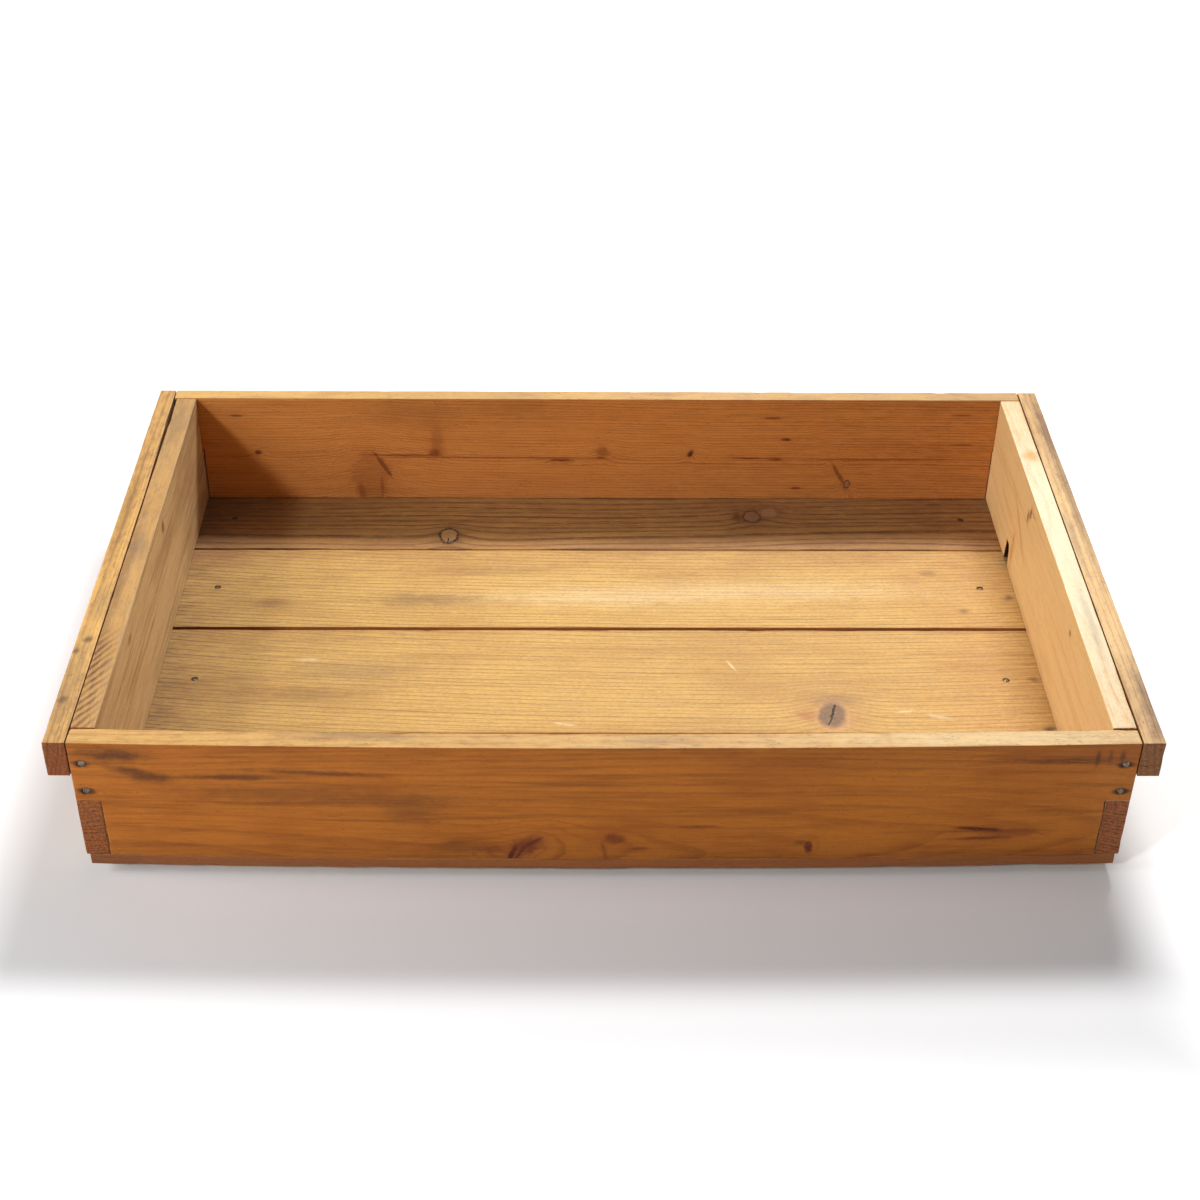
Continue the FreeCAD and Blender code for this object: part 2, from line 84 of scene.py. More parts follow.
# The cross battens under them, to both sides, and their front and rear end.
FOOT_INNER, FOOT_OUTER = 251.0, 281.0
FOOT_ENDS = (-173.75, 179.75)

# The lines of nails: along x at the corners and in the cross battens, and their heights
# in the upper fingers.
SIDE_MIDDLE = 296.0
FOOT_NAIL_X = 266.0
UPPER_FINGER_LEVELS = (63.8, 84)

UP, DOWN = (0, 0, 1), (0, 0, -1)
NOTCH = SIDE_INNER - FINGER_GAP
UPPER_FINGER = FINGER_TOP + FINGER_GAP
SHOULDERS = (FRONT_INNER + FINGER_GAP, BACK_INNER - FINGER_GAP)


# ---------------- noise and grids

# Grid lines this far from every edge carry its worn rounding.
EDGE_ROWS = (0.3, 0.8, 1.5, 3.0)


def ticks(stops, step):
    """Grid lines along one axis: the stops, rows close to them, and an even filling."""
    stops = sorted(set(stops))
    lines = set(stops)
    for low, high in zip(stops, stops[1:]):
        for row in EDGE_ROWS:
            if 2 * row < high - low:
                lines.update((low + row, high - row))
    lines = sorted(lines)
    filled = [lines[0]]
    for low, high in zip(lines, lines[1:]):
        count = max(1, round((high - low) / step))
        filled.extend(low + (high - low) * (index + 1) / count for index in range(count))
    return np.array(filled)


def skin_of_boxes(boxes, steps):
    """The skin of a union of boxes, as grid points and outward quads."""
    grids = [ticks(boxes[:, :, axis].ravel(), steps[axis]) for axis in range(3)]
    middles = [(grid[1:] + grid[:-1]) / 2 for grid in grids]
    centres = np.stack(np.meshgrid(*middles, indexing="ij"), -1)
    inside = np.zeros(centres.shape[:3], bool)
    for low, high in boxes:
        inside |= np.all((centres > low) & (centres < high), -1)
    padded = np.pad(inside, 1)
    counts = [len(grid) for grid in grids]
    quads = []
    for axis in range(3):
        first, second = (axis + 1) % 3, (axis + 2) % 3
        for side in (0, 1):
            beyond = np.roll(padded, 1 - 2 * side, axis)
            cells = np.argwhere((padded & ~beyond)[1:-1, 1:-1, 1:-1])
            ring = [(0, 0), (1, 0), (1, 1), (0, 1)]
            corners = []
            for u, v in ring if side else reversed(ring):
                corner = cells.copy()
                corner[:, axis] += side
                corner[:, first] += u
                corner[:, second] += v
                corners.append(np.ravel_multi_index(corner.T, counts))
            quads.append(np.stack(corners, 1))
    used, faces = np.unique(np.concatenate(quads), return_inverse=True)
    places = np.unravel_index(used, counts)
    points = np.stack([grids[axis][places[axis]] for axis in range(3)], 1)
    return points, faces.reshape(-1, 4)


def hashed(cells, seed):
    """A repeatable number from 0 to 1 for each whole-number cell."""
    cells = cells.astype(np.int64)
    mixed = cells @ np.array([374761393, 668265263, 2147483647]) + seed * 1274126177
    mixed = (mixed ^ (mixed >> 13)) * 1103515245
    return ((mixed ^ (mixed >> 16)) & 0xFFFFFF) / 0xFFFFFF


def lumps(points, size, seed):
    """Smooth noise from 0 to 1, with lumps of the given size along each axis."""
    scaled = points / np.array(size, float)
    base = np.floor(scaled)
    blend = scaled - base
    blend = blend * blend * (3 - 2 * blend)
    total = np.zeros(len(points))
    for corner in np.ndindex(2, 2, 2):
        weight = np.prod(np.where(corner, blend, 1 - blend), 1)
        total += weight * hashed(base + np.array(corner), seed)
    return total


def round_off(points, boxes, radius):
    """Round the outer edges of a union of boxes. Gives the points and their normals."""
    best = np.full(len(points), np.inf)
    nearest = points.copy()
    for low, high in boxes:
        inner = np.clip(points, low + radius[:, None], high - radius[:, None])
        distance = np.linalg.norm(points - inner, axis=1)
        closer = distance < best
        best[closer] = distance[closer]
        nearest[closer] = inner[closer]
    normal = (points - nearest) / np.maximum(best, 1e-6)[:, None]
    return nearest + normal * radius[:, None], normal


def bow_at(x):
    """How far the front board stands out at x, beyond its ends."""
    return BOW * (1 - (x / HALF_LENGTH) ** 2)


def new_piece(name, points, faces, smooth_angle):
    """A mesh object from points in millimetres."""
    mesh = bpy.data.meshes.new(name)
    mesh.from_pydata((np.asarray(points) * MM).tolist(), [], [list(face) for face in faces])
    mesh.update()
    mesh.shade_smooth()
    mesh.set_sharp_from_angle(angle=math.radians(smooth_angle))
    piece = bpy.data.objects.new(name, mesh)
    bpy.context.scene.collection.objects.link(piece)
    return piece


# ---------------- node graphs

# How far each step of a seed moves the place in a noise, in sizes of its features.
SEED_STEP = (7.31, 3.17, 5.53)


def linear(colour):
    """An sRGB colour as the linear RGBA that a shader takes."""
    parts = [part / 255 for part in colour]
    return tuple(part / 12.92 if part <= 0.04045 else ((part + 0.055) / 1.055) ** 2.4
                 for part in parts) + (1.0,)


def toned(colour, tone):
    """The same, with its red, green and blue light multiplied by the tone."""
    return tuple(min(part * share, 1.0) for part, share in zip(linear(colour), (*tone, 1.0)))


class Graph:
    """The nodes of a material or a world, written as expressions."""

    def __init__(self, owner):
        owner.use_nodes = True
        self.owner = owner
        self.tree = owner.node_tree
        self.tree.nodes.clear()

    def node(self, kind, values, **settings):
        """A node with its settings, and its inputs fed by name or by place."""
        node = self.tree.nodes.new(kind)
        for key, value in settings.items():
            setattr(node, key, value)
        items = values.items() if isinstance(values, dict) else enumerate(values)
        for key, value in items:
            if isinstance(value, bpy.types.NodeSocket):
                self.tree.links.new(value, node.inputs[key])
            else:
                node.inputs[key].default_value = value
        return node

    def math(self, operation, *values, clamp=False):
        """The result of a Math node."""
        return self.node("ShaderNodeMath", values, operation=operation,
                         use_clamp=clamp).outputs[0]

    def times(self, value, scale):
        """The value times a scale."""
        return self.math("MULTIPLY", value, scale)

    def scaled(self, value, scale, offset):
        """The value times a scale, plus an offset."""
        return self.math("MULTIPLY_ADD", value, scale, offset)

    def total(self, *values):
        """The sum of several values."""
        result = values[0]
        for value in values[1:]:
            result = self.math("ADD", result, value)
        return result

    def vector(self, operation, *values):
        """A Vector Math node."""
        return self.node("ShaderNodeVectorMath", values, operation=operation)

    def split(self, vector):
        """The three parts of a vector."""
        return self.node("ShaderNodeSeparateXYZ", (vector,)).outputs

    def join(self, parts):
        """The vector of three parts."""
        return self.node("ShaderNodeCombineXYZ", parts).outputs[0]

    def step(self, value, low, high, start=0.0, end=1.0):
        """A smooth step of the value, from start at low to end at high."""
        return self.node("ShaderNodeMapRange", (value, low, high, start, end),
                         interpolation_type="SMOOTHSTEP").outputs[0]

    def mix(self, factor, below, above):
        """A colour between two others."""
        return self.node("ShaderNodeMix", {0: factor, 6: below, 7: above},
                         data_type="RGBA").outputs[2]

    def shade(self, colour, amount):
        """A colour times an amount."""
        return self.vector("SCALE", colour, (0, 0, 0), (0, 0, 0), amount).outputs[0]

    def noise(self, local, sizes, seed, detail, roughness=0.5):
        """Noise with features of the given sizes: its value and its colour."""
        scale = [1 / size for size in sizes]
        offset = [seed * share for share in SEED_STEP]
        node = self.node("ShaderNodeTexNoise", {
            "Vector": self.vector("MULTIPLY_ADD", local, scale, offset).outputs[0],
            "Scale": 1.0, "Detail": detail, "Roughness": roughness})
        return node.outputs[0], node.outputs[1]

    def seen(self):
        """One for rays that show the surface itself, straight or by reflection."""
        rays = self.node("ShaderNodeLightPath", ()).outputs
        return self.total(rays["Is Camera Ray"], rays["Is Glossy Ray"],
                          rays["Is Transmission Ray"])

    def finish(self, values):
        """The surface shader and the output."""
        shader = self.node("ShaderNodeBsdfPrincipled", values)
        self.node("ShaderNodeOutputMaterial", {"Surface": shader.outputs[0]})
        return self.owner


# ---------------- wood

# Which of x, y and z runs along a board's grain, across it and through the board.
ALONG_X = ("x", "z", "y")
ALONG_Y = ("y", "z", "x")
PLANKWISE = ("x", "y", "z")
FOOTWISE = ("y", "x", "z")

# The noise in a board's look: the size of its features along, across and through the
# grain, what is added to the board's seed, and its detail and roughness.
TEXTURES = {
    "drift": ((310, 75, 75), 0, 2.0, 0.5),
    "fibre": ((16, 0.5, 0.5), 1, 2.0, 0.6),
    "streak": ((95, 4.5, 4.5), 2, 3.0, 0.6),
    "blotch": ((75, 32, 32), 3, 3.0, 0.55),
    "wobble": ((9, 6, 6), 4, 3.0, 0.6),
    "fleck": ((3.2, 0.9, 0.9), 5, 2.0, 0.6),
    "knot_grain": ((2.2, 1.4, 1.4), 6, 2.0, 0.6),
    "hair": ((70, 0.7, 0.7), 7, 3.0, 0.6),
    "mottle": ((13, 4, 4), 8, 3.0, 0.65),
    "speck": ((1.0, 1.7, 1.7), 9, 2.0, 0.7),
    "sway": ((14, 9, 9), 10, 2.0, 0.5),
    "grit": ((2.6, 1.5, 1.5), 11, 2.0, 0.65),
}
KNOT_RIM = (44, 22, 12)
KNOT_SPLIT = (20, 11, 8)
NAIL_STAIN = (38, 24, 16)
HANDLED_WOOD = (150, 112, 88)
# A size that leaves a direction out.
ENDLESS = 1e6


def board_place(graph, axes):
    """The place in millimetres as (along the grain, across, through), and the facing."""
    source = graph.node("ShaderNodeTexCoord", ())
    place = graph.vector("SCALE", source.outputs["Object"], (0, 0, 0), (0, 0, 0), 1 / MM)
    result = []
    for socket in (place.outputs[0], source.outputs["Normal"]):
        parts = graph.split(socket)
        result.append(graph.join([parts["xyz".index(axis)] for axis in axes]))
    return result


class Wood(Graph):
    """Aged softwood with year rings that run right through the board."""

    def __init__(self, name, axes, look):
        super().__init__(bpy.data.materials.new(name))
        self.look = look
        self.local, facing = board_place(self, axes)
        self.parts = self.split(self.local)
        self.facing = self.split(facing)
        self.end = self.step(self.math("ABSOLUTE", self.facing[0]), 0.3, 0.6)
        self.up = self.step(self.facing[1], 0.55, 0.9)
        self.early, self.late_wood, self.stain = (
            toned(look[key], look["tone"]) for key in ("early", "late_colour", "stain"))
        self.mottle, self.blotch, self.fibre, self.streak = (
            self.texture(kind)[0] for kind in ("mottle", "blotch", "fibre", "streak"))
        fleck = self.step(self.texture("fleck")[0], 0.58, 0.74)
        self.fleck = self.times(fleck, self.step(self.mottle, 0.35, 0.65, 0.3, 1.0))
        # How far the knots bend the rings, how deep they lie, and their layers of colour.
        self.bend, self.relief = 0.0, 0.0
        self.layers = []
        if look["knots"]:
            self.add_knots(look["knots"])
        self.late = self.year_rings()
        hairs = self.times(self.step(self.texture("hair")[0], 0.52, 0.7), look["hair"])
        self.lines = self.times(self.math("MAXIMUM", self.late, hairs),
                                self.step(self.mottle, 0.25, 0.6, 0.5, 1.0))

    def texture(self, kind):
        """One kind of noise: its value and its colour."""
        sizes, seed_step, detail, roughness = TEXTURES[kind]
        return self.noise(self.local, sizes, self.look["seed"] + seed_step, detail, roughness)

    def add_knots(self, knots):
        """The knots and marks, on the board's wide faces or, where they say so, on its top."""
        from_above = self.join((self.parts[0], self.parts[2], self.parts[1]))
        wobble = self.texture("wobble")[1]
        grain = self.texture("knot_grain")[0]
        for knot in knots:
            (along, across), (length, width) = knot["at"], knot["size"]
            offset = self.node("ShaderNodeMapping", {
                "Vector": from_above if knot["on_top"] else self.local,
                "Location": (along, across, 0), "Rotation": (0, 0, knot["lean"]),
                "Scale": (length, width, ENDLESS)}, vector_type="TEXTURE").outputs[0]
            ragged = knot["ragged"]
            offset = self.vector("MULTIPLY_ADD", wobble, (ragged, ragged, 0), offset).outputs[0]
            offset = self.vector("SUBTRACT", offset, (ragged / 2, ragged / 2, 0)).outputs[0]
            self.add_knot(knot, offset, grain)

    def add_knot(self, knot, offset, grain):
        """One knot, from the place as an offset from its middle in steps of its size."""
        distance = self.vector("LENGTH", offset).outputs["Value"]
        square = self.times(distance, distance)
        halo = self.math("EXPONENT", self.times(square, -0.45))
        core = self.step(distance, 1.0 + knot["soft"], 1.0 - knot["soft"])
        if knot["on_top"]:
            halo, core = (self.times(field, self.up) for field in (halo, core))
        else:
            reach = self.math("EXPONENT", self.times(square, -0.16))
            self.bend = self.scaled(reach, knot["push"], self.bend)
        # within keeps a mark to a depth through the board; only the two patches of painted shade
        # use it.
        if "within" in knot:
            near, inside, far = knot["within"]
            core = self.times(core, self.times(self.step(self.parts[2], near, inside),
                                               self.step(self.parts[2], far + 1, far)))
        self.layers.append((self.times(halo, knot["halo"]), knot["halo_colour"]))
        core = self.times(core, self.math("MULTIPLY_ADD", grain, 0.9, 0.5, clamp=True))
        self.layers.append((self.times(core, knot["fill"]), knot["colour"]))
        if knot["rim"]:
            edge = self.math("ABSOLUTE", self.math("SUBTRACT", distance, 1.0))
            rim = self.times(self.step(edge, 0.2, 0.06), knot["rim"])
            rim = self.times(rim, self.step(grain, 0.26, 0.56, 0.15, 1.0))
            self.layers.append((rim, KNOT_RIM))
            self.relief = self.scaled(rim, -0.3, self.relief)
        if "split" in knot:
            lean, near, far = knot["split"]
            ways = (math.cos(lean), math.sin(lean), 0), (-math.sin(lean), math.cos(lean), 0)
            along, beside = (self.vector("DOT_PRODUCT", offset, way).outputs["Value"]
                             for way in ways)
            thin = self.step(self.math("ABSOLUTE", beside), 0.11, 0.04)
            thin = self.times(thin, self.step(along, near - 0.1, near + 0.1))
            thin = self.times(thin, self.step(along, far + 0.1, far - 0.1))
            self.layers.append((thin, KNOT_SPLIT))
            self.relief = self.scaled(thin, -0.7, self.relief)

    def year_rings(self):
        """The dark late wood of the rings, round a pith that wanders along the board."""
        look, parts = self.look, self.parts
        drift = self.split(self.texture("drift")[1])
        pith, wander = look["pith"], look["wander"]
        across = self.scaled(drift[0], wander, parts[1])
        across = self.scaled(parts[0], -look["tilt"], across)
        if "sag" in look:
            depth, middle = look["sag"]
            run = self.math("SUBTRACT", parts[0], middle)
            across = self.scaled(self.times(run, run), -depth, across)
        across = self.math("SUBTRACT", across, pith[0] + wander / 2)
        through = self.math("SUBTRACT", self.scaled(drift[1], wander, parts[2]),
                            pith[1] + wander / 2)
        radius = self.math("SQRT", self.total(self.times(across, across),
                                              self.times(through, through)))
        radius = self.math("ADD", radius, self.bend)
        radius = self.scaled(parts[0], look["taper"], radius)
        spacing = look["ring"]
        uneven = self.node("ShaderNodeTexNoise", {
            "W": self.times(radius, 0.22 / spacing), "Scale": 1.0, "Detail": 1.0},
            noise_dimensions="1D").outputs[0]
        year = self.scaled(uneven, look["uneven"], self.math("DIVIDE", radius, spacing))
        phase = self.math("FRACT", year)
        strength = self.node("ShaderNodeTexWhiteNoise", {"W": self.math("FLOOR", year)},
                             noise_dimensions="1D").outputs[0]
        late = self.times(self.step(phase, look["late"], 0.9), self.step(phase, 1.0, 0.94))
        return self.times(late, self.scaled(strength, 0.5, 0.5))

    def sawn_colour(self):
        """The wood's lines, streaks, blotches and scuffs, and its worn and handled top."""
        look = self.look
        colour = self.mix(self.times(self.lines, look["line"]), self.early, self.late_wood)
        blotch_wood, scuff = (toned(look[key], look["tone"])
                              for key in ("blotch_colour", "scuff_colour"))
        for field, low, high, amount, shade in (
                (self.streak, 0.45, 0.8, "streak", self.stain),
                (self.blotch, 0.42, 0.75, "blotch", blotch_wood),
                (self.mottle, 0.62, 0.8, "scuff", scuff)):
            colour = self.mix(self.times(self.step(field, low, high), look[amount]), colour, shade)
        if "top" in look:
            worn = self.times(self.up, self.step(self.blotch, 0.9, 0.2, 0.75, 1.0))
            top = self.mix(self.times(self.lines, 0.4 * look["line"]), linear(look["top"]),
                           self.late_wood)
            handled = self.times(self.step(self.mottle, 0.48, 0.68), look["handled"])
            colour = self.mix(worn, colour, self.mix(handled, top, linear(HANDLED_WOOD)))
        return colour

    def aged_colour(self, colour):
        """The same with outward faces darkened, and with saw strokes, grime and painted shade."""
        look, parts, mottle = self.look, self.parts, self.mottle
        # outer darkens the outward faces again, taking back painted light that a tone gives an
        # inner face.
        if "outer" in look:
            part, way, tone = look["outer"]
            away = self.step(self.times(self.facing[part], way), 0.4, 0.8)
            tint = self.mix(away, (1, 1, 1, 1), (*tone, 1))
            colour = self.vector("MULTIPLY", colour, tint).outputs[0]
        # outside sets one colour on faces that point one way: on the handle battens painted shade
        # in their gaps, on the middle rear plank painted light on its seam edge.
        if "outside" in look:
            part, way, shade = look["outside"]
            away = self.times(self.facing[part], way)
            aged = self.shade(linear(shade)[:3], self.step(mottle, 0.25, 0.75, 0.75, 1.2))
            colour = self.mix(self.step(away, 0.4, 0.8, 0.0, 0.92), colour, aged)
        if "strokes" in look:
            colour = self.saw_strokes(colour, *look["strokes"])
        # Layers of grime and layers of painted shade, each fading in along one part of the place.
        grime_and_shade = [(layer, 1.0) for layer in look["grime_and_shade"]]
        grime_and_shade += [(layer, self.up) for layer in look["top_grime"]]
        for (part, fade_from, full_at, amount, shade), share in grime_and_shade:
            place = self.scaled(self.blotch, full_at - fade_from, parts[part])
            darkening = self.step(place, fade_from, 2 * full_at - fade_from, 0.0, amount)
            darkening = self.times(darkening, self.step(mottle, 0.2, 0.7, 0.5, 0.9))
            darkening = self.times(darkening, self.scaled(self.lines, 0.5, 0.75))
            colour = self.mix(self.times(darkening, share), colour, linear(shade))
        return colour

    def saw_strokes(self, colour, first, last, pitch, lean, edges, shade):
        """Slanting strokes on the top, from first to last, from a pale edge to a dark one."""
        phase = self.scaled(self.parts[2], -lean, self.parts[0])
        phase = self.scaled(self.texture("sway")[0], 0.9 * pitch, phase)
        wave = self.math("SINE", self.times(phase, math.tau / pitch))
        wave = self.times(self.step(wave, -0.6, 0.9, 0.2, 1.0),
                          self.step(self.parts[2], *edges, 0.25, 1.0))
        wave = self.times(wave, self.step(self.mottle, 0.25, 0.7, 0.45, 1.0))
        shifted = self.scaled(self.mottle, 30, self.parts[0])
        wave = self.times(wave, self.step(shifted, last + 30, last))
        wave = self.times(wave, self.step(shifted, first, first + 25))
        return self.mix(self.times(wave, self.up), colour, linear(shade))

    def finish_wood(self):
        """The material, with its end grain, its knots, the stains of nails, and relief."""
        look = self.look
        speck = self.times(self.step(self.texture("speck")[0], 0.42, 0.62), self.end)
        end_lines = self.scaled(speck, 0.5, self.times(self.late, 0.6))
        end_colour = self.mix(self.math("MINIMUM", end_lines, 1.0), linear(look["end"]),
                              linear(look["end_late"]))
        colour = self.mix(self.end, self.aged_colour(self.sawn_colour()), end_colour)
        for amount, shade in self.layers:
            colour = self.mix(amount, colour, linear(shade))
        grey = self.scaled(self.fibre, look["fibre"], 1 - (look["fibre"] + look["grit"]) / 2)
        grey = self.scaled(self.texture("grit")[0], look["grit"], grey)
        colour = self.shade(colour, grey)
        colour = self.mix(self.times(self.fleck, 0.5), colour, self.stain)
        for along, across, length, width in look["stains"]:
            offset = self.vector("MULTIPLY_ADD", self.local, (1 / length, 1 / width, 0),
                                 (-along / length, -across / width, 0)).outputs[0]
            near = self.math("ADD", self.vector("LENGTH", offset).outputs["Value"], self.mottle)
            colour = self.mix(self.step(near, 1.5, 0.9, 0.0, 0.85), colour, linear(NAIL_STAIN))

        height = self.times(self.late, 0.08)
        for field, relief in ((self.fibre, 0.09), (self.streak, 0.12), (speck, -0.2),
                              (self.fleck, -0.08)):
            height = self.scaled(field, relief, height)
        bump = self.node("ShaderNodeBump", {"Strength": 1.0, "Distance": MM,
                                            "Height": self.math("ADD", height, self.relief)})
        low, high = look["rough"]
        return self.finish({
            "Base Color": colour, "Roughness": self.scaled(self.fibre, high - low, low),
            "Normal": bump.outputs[0], "Specular IOR Level": look["shine"]})


def nail_steel(name, bare, rusty):
    """Dull hammered steel with brown rust in its hollows."""
    graph = Graph(bpy.data.materials.new(name))
    local = board_place(graph, PLANKWISE)[0]
    rust = graph.step(graph.noise(local, (1.1, 1.1, 1.1), 3, 3.0, 0.65)[0], 0.42, 0.6)
    scratch = graph.noise(local, (0.25, 0.9, 0.5), 8, 2.0)[0]
    bump = graph.node("ShaderNodeBump", {"Strength": 1.0, "Distance": MM,
                                         "Height": graph.times(scratch, 0.12)})
    return graph.finish({
        "Base Color": graph.mix(rust, linear(bare), linear(rusty)),
        "Roughness": graph.scaled(rust, 0.35, 0.34),
        "Metallic": graph.step(rust, 1.0, 0.0, 0.25, 0.9), "Normal": bump.outputs[0]})


# ---------------- looks

# What every look has: how strong each feature of the wood is, how the rings run, and the
# marks, nail stains, grime and painted shade that lie on the board.
ANY_LOOK = {
    "hair": 0.5, "fibre": 0.35, "grit": 0.2, "scuff": 0.15, "handled": 0.2, "shine": 0.4,
    "uneven": 2.0, "taper": 0.01, "tilt": 0.0, "knots": (), "stains": (), "grime_and_shade": (),
    "top_grime": (),
}
WALL_LOOK = dict(
    ANY_LOOK, early=(206, 134, 70), late_colour=(148, 76, 34), stain=(112, 56, 24),
    blotch_colour=(186, 106, 50), end=(166, 94, 46), end_late=(84, 42, 20),
    scuff_colour=(222, 160, 100), top=(214, 172, 106), ring=2.6, pith=(-60, 95), wander=26,
    late=0.5, line=0.8, streak=0.45, blotch=0.35, rough=(0.38, 0.62), tone=(1, 1, 1))
HANDLE_LOOK = dict(
    WALL_LOOK, early=(206, 146, 82), ring=3.2, pith=(40, 60), wander=14, end=(146, 78, 32),
    end_late=(108, 56, 24), shine=0.25)
FLOOR_LOOK = dict(
    ANY_LOOK, early=(224, 182, 112), late_colour=(140, 88, 36), stain=(150, 102, 54),
    blotch_colour=(198, 150, 86), end=(150, 100, 60), end_late=(100, 60, 34),
    scuff_colour=(236, 206, 148), ring=3.9, pith=(-260, 60), wander=9, uneven=1.2, late=0.62,
    line=0.68, fibre=0.62, streak=0.4, blotch=0.65, scuff=0.65, grit=0.5, rough=(0.5, 0.75),
    tone=(0.94, 0.91, 0.7))

WARM_HALO = (150, 76, 34)
DARK_HALO = (96, 60, 38)
PALE_HALO = (196, 142, 88)
REDDISH = (100, 42, 22)
DARK_STAIN = (84, 46, 24)
GREY_STAIN = (120, 96, 76)
PALE_SCRATCH = (252, 228, 184)
KNOT_HEART = (102, 78, 54)
DARK_EDGE = (138, 82, 40)
# Painted light on the edge of the middle rear plank that faces into its seam.
LIT_EDGE = (168, 98, 46)
# Painted shade on the faces of the handle battens that look into their narrow gaps.
PAINTED_GAP_SHADE = (88, 52, 27)
BATTEN_DIRT = (146, 104, 66)
RIGHT_BATTEN_DIRT = (156, 108, 62)
TAN_DIRT = (225, 170, 105)


def knot(at, size, **more):
    """A knot or a mark: its middle and half size along and across the board, and its look."""
    return {"at": at, "size": size, "lean": 0.0, "rim": 0.0, "on_top": False, **more}


def red_patch(at, size, fill, push=-5, **more):
    """A reddish knot cut lengthwise, without a clear outline."""
    return knot(at, size, **{"fill": fill, "push": push, "soft": 0.45, "ragged": 1.4,
                             "colour": REDDISH, "halo": 0.3, "halo_colour": WARM_HALO, **more})


def smudge(at, size, fill, colour=DARK_STAIN, **more):
    """A stain that leaves the rings as they are, or, in two places, a patch of painted shade."""
    return knot(at, size, **{"fill": fill, "push": 0, "soft": 0.8, "ragged": 1.8,
                             "colour": colour, "halo": 0.15, "halo_colour": colour, **more})


def red_patches(*rows):
    """Red patches from rows of place, size, fill and push."""
    return [red_patch((along, across), (length, width), fill, push)
            for along, across, length, width, fill, push in rows]


def smudges(*rows, **more):
    """Smudges from rows of place, size and fill."""
    return [smudge((along, across), (length, width), fill, **more)
            for along, across, length, width, fill in rows]


FRONT_KNOTS = [
    red_patch((-47, 24), (11, 6), 0.75, -8, lean=0.6, ragged=1.2),
    red_patch((-54, 19), (6, 1.6), 1.0, 0, lean=1.2, ragged=0.7, colour=(70, 28, 16)),
    red_patch((-49, 20), (6.5, 1.0), 0.9, 0, lean=1.0, ragged=0.6, colour=(84, 36, 20)),
    red_patch((-43, 27), (8, 1.3), 0.9, 0, lean=0.6, ragged=0.7),
    *red_patches((-66, 22, 8, 3, 0.4, -5), (6, 31, 6, 4, 0.65, -2)),
    smudge((0, 20), (1, 8), 0.4, lean=0.2),
    red_patch((119, 24), (2.4, 4), 0.95, -2, rim=0.4),
    smudge((114, 27), (3, 2), 0.5),
    *red_patches((54, 40, 14, 1.2, 0.5, 0), (20, 23, 6, 1.2, 0.6, 0)),
    red_patch((217, 36.5), (13, 1.4), 0.95, -2, lean=-0.08, colour=(64, 26, 12)),
    red_patch((222, 29.5), (14, 1.3), 0.7, 0, lean=0.04), red_patch((236, 34), (16, 3), 0.4, 0),
    smudge((-276, 91), (16, 4), 0.8), smudge((-268, 79), (14, 2.6), 0.75, lean=-0.25),
    *smudges((-258, 74, 10, 3, 0.6), (-213, 76, 22, 1.8, 0.7)),
    smudge((-166, 80), (30, 1.6), 0.65, lean=-0.05),
    *smudges((-140, 60, 70, 4, 0.35), (-190, 66, 50, 3, 0.3), (-112, 50, 14, 8, 0.3),
             (-84, 24, 10, 5, 0.3)),
    *smudges((279, 89, 1.2, 5, 0.75), (293, 90, 1.4, 4, 0.7), (286, 90, 1.0, 5, 0.5),
             ragged=0.6),
    smudge((262, 88), (26, 2.0), 0.6),
    smudge((-138, -188), (30, 4), 0.4, GREY_STAIN, on_top=True),
    smudge((240, -189), (90, 9), 0.35, (252, 226, 172), on_top=True),
    *smudges((30, -192, 16, 3, 0.3), (60, -183, 22, 1.6, 0.3), colour=GREY_STAIN, on_top=True),
]
BACK_KNOTS = [
    red_patch((-168, 33), (12, 19), 0.2, -10, rim=0.12),
    red_patch((-158, 43), (1.3, 11), 0.6, 0, lean=0.5, rim=0.5, ragged=0.6),
    red_patch((-175, 20), (2.2, 7), 0.35, 0, lean=0.1),
    *red_patches((-160, 24, 1.2, 8, 0.3, 0), (-120, 54, 4, 3, 0.6, -5),
                 (-118, 64, 4, 12, 0.2, 0), (-141, 52, 24, 0.8, 0.7, 0)),
    red_patch((178, 35), (1.4, 12), 0.6, -8, lean=0.5),
    red_patch((184, 27), (2.0, 3.2), 0.9, -4, rim=0.9, colour=(150, 110, 74)),
    *red_patches((-249, 54, 2.6, 1.8, 0.9, -5), (-28, 48, 8, 1.1, 0.8, -5),
                 (2, 55, 5, 4, 0.4, -5), (1, 50, 3, 1, 0.6, 0)),
    red_patch((67, 54), (1.8, 3), 0.95, lean=-0.5, colour=(70, 34, 20)),
    *red_patches((112, 50, 12, 0.8, 0.8, 0), (130, 49, 5, 1.4, 0.7, 0),
                 (126, 84, 6, 0.9, 0.7, 0), (137, 66, 3.4, 1.2, 0.9, 0),
                 (146, 24, 4, 0.9, 0.8, 0), (-262, 85, 4, 0.9, 0.7, 0),
                 (262, 87, 7, 0.8, 0.5, 0), (264, 62, 8, 0.8, 0.4, 0),
                 (200, 49, 46, 0.7, 0.55, 0), (-80, 50, 70, 0.7, 0.45, 0)),
    *smudges((-130, 88, 30, 10, 0.15), (-60, 92, 24, 8, 0.12)),
]
LEFT_SIDE_KNOTS = [
    red_patch((39, 88), (3, 4), 0.7), smudge((-81, 86), (5, 2), 0.5),
    smudge((-30, -301), (70, 3), 0.4, on_top=True),
    *smudges((0, -296, 12, 4, 0.4), (150, -297, 20, 4, 0.3), colour=GREY_STAIN, on_top=True),
    # Painted shade: near black on the outer face behind the handle batten, where it stands off.
    smudge((150, 89), (110, 11), 1.0, (20, 12, 7), soft=0.1, ragged=0.2, halo=0.0,
           within=(-304.5, -304, -302.9)),
]
